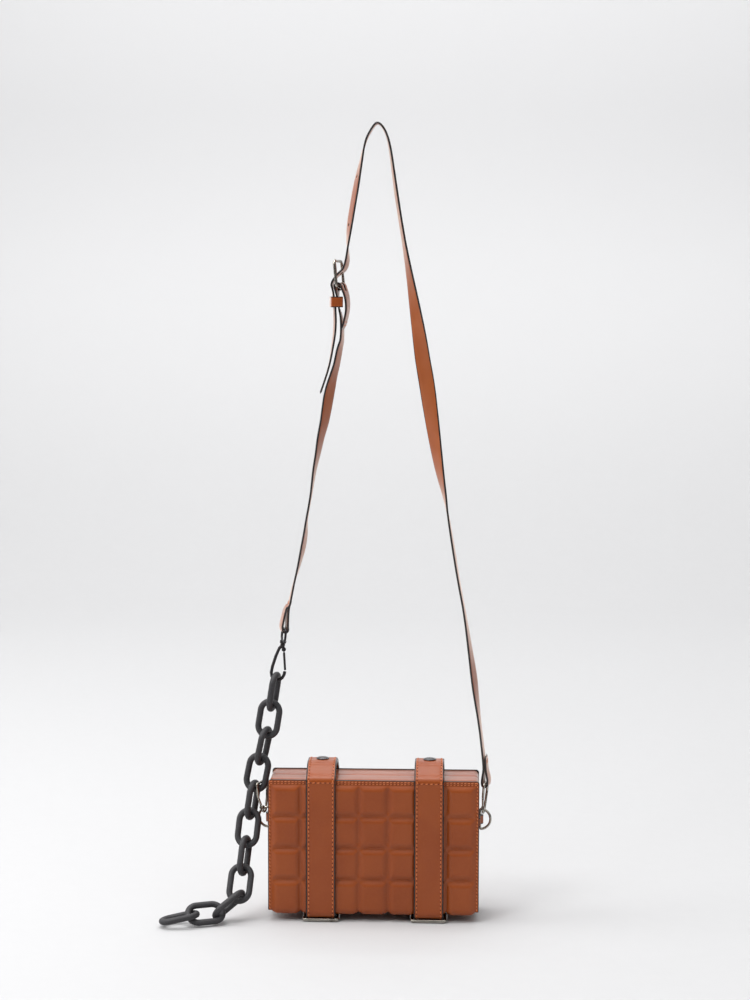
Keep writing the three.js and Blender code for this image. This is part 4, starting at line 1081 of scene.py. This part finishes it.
def sweep():
    rows = [(studio["front"], studio["floor"]), (studio["back"] - studio["curve"], studio["floor"])]
    for k in range(1, 17):
        angle = math.radians(90 * k / 16)
        rows.append((studio["back"] - studio["curve"] + studio["curve"] * math.sin(angle),
                     studio["floor"] + studio["curve"] * (1 - math.cos(angle))))
    rows.append((studio["back"], studio["floor"] + studio["height"]))
    vertices = [(x, y, z) for y, z in rows for x in (-studio["half"], studio["half"])]
    faces = [(2 * k, 2 * k + 1, 2 * k + 3, 2 * k + 2) for k in range(len(rows) - 1)]
    mesh = meshOf("sweep", vertices, [], faces)
    smoothShaded(mesh)
    piece = linked("sweep", mesh)
    material, tree, shader, place = newMaterial("palePaper")
    fibre = noise(tree, place, 60.0, 3.0)
    # painted shade on the floor, where the top light falls strongest, grading to lighter paper up the wall,
    # to even out the light on the backdrop
    height = put(tree, "ShaderNodeSeparateXYZ", {0: place}).outputs[2]
    rise = ramped(tree, height, studio["floor"], studio["floor"] + 0.7)
    paper = blended(tree, rise, tone(193, 193, 194), tone(214, 214, 215))
    tree.links.new(blended(tree, maths(tree, "MULTIPLY", fibre, 0.1), paper, tone(215, 215, 215)),
                   shader.inputs["Base Color"])
    shader.inputs["Roughness"].default_value = 0.95
    mesh.materials.append(material)


def softbox(name, place, target, size, power):
    data = bpy.data.lights.new(name, "AREA")
    data.shape, data.size, data.size_y, data.energy = "RECTANGLE", size[0], size[1], power
    light = linked(name, data)
    light.location = place
    light.rotation_mode = "QUATERNION"
    light.rotation_quaternion = (Vector(target) - Vector(place)).to_track_quat("-Z", "Y")


sweep()
softbox("keyLight", (-1.6, -1.9, 1.7), (0, 0, -0.5), (1.0, 1.0), 33)
softbox("fillLight", (2.0, -2.0, 0.6), (0, 0, -0.4), (1.4, 1.8), 5)
softbox("topLight", (-0.4, -0.1, 2.2), (0, 0, -0.5), (1.8, 1.6), 44)
softbox("leftLight", (-1.9, -0.1, 0.5), (0, 0, -0.4), (1.0, 1.6), 20)
softbox("backdropLight", (0.0, 1.9, 1.9), (0, 3.0, -0.2), (3.6, 0.6), 38)
world = bpy.data.worlds.new("studioAir")
world.use_nodes = True
air = world.node_tree
way = put(air, "ShaderNodeSeparateXYZ", {0: put(air, "ShaderNodeTexCoord").outputs["Generated"]}).outputs
glow = maths(air, "ADD", ramped(air, way[2], 0.1, 0.9, 0.06, 0.9), ramped(air, way[1], -0.2, 0.7, 0.0, 0.45))
air.links.new(glow, air.nodes["Background"].inputs["Strength"])
air.nodes["Background"].inputs["Color"].default_value = (1, 1, 1, 1)
scene.world = world
scene.view_settings.view_transform = "Standard"

camera = {"place": (79.4, -2127.5, -154.7), "yaw": -2.18, "pitch": 5.28, "roll": -0.15, "lens": 81.43}


def aimCamera():
    yaw, pitch, roll = (math.radians(camera[key]) for key in ("yaw", "pitch", "roll"))
    ahead = Vector((math.sin(yaw) * math.cos(pitch), math.cos(yaw) * math.cos(pitch), -math.sin(pitch)))
    level = Vector((math.cos(yaw), -math.sin(yaw), 0))
    down = ahead.cross(level)
    right = level * math.cos(roll) + down * math.sin(roll)
    below = -level * math.sin(roll) + down * math.cos(roll)
    data = bpy.data.cameras.new("photoCamera")
    data.lens, data.sensor_width = camera["lens"], 36
    data.clip_start, data.clip_end = 0.05, 30
    eye = linked("photoCamera", data)
    turn = Matrix((right, -below, -ahead)).transposed().to_4x4()
    eye.matrix_world = Matrix.Translation(Vector(camera["place"]) * mm) @ turn
    scene.camera = eye


aimCamera()
print("studio ready")
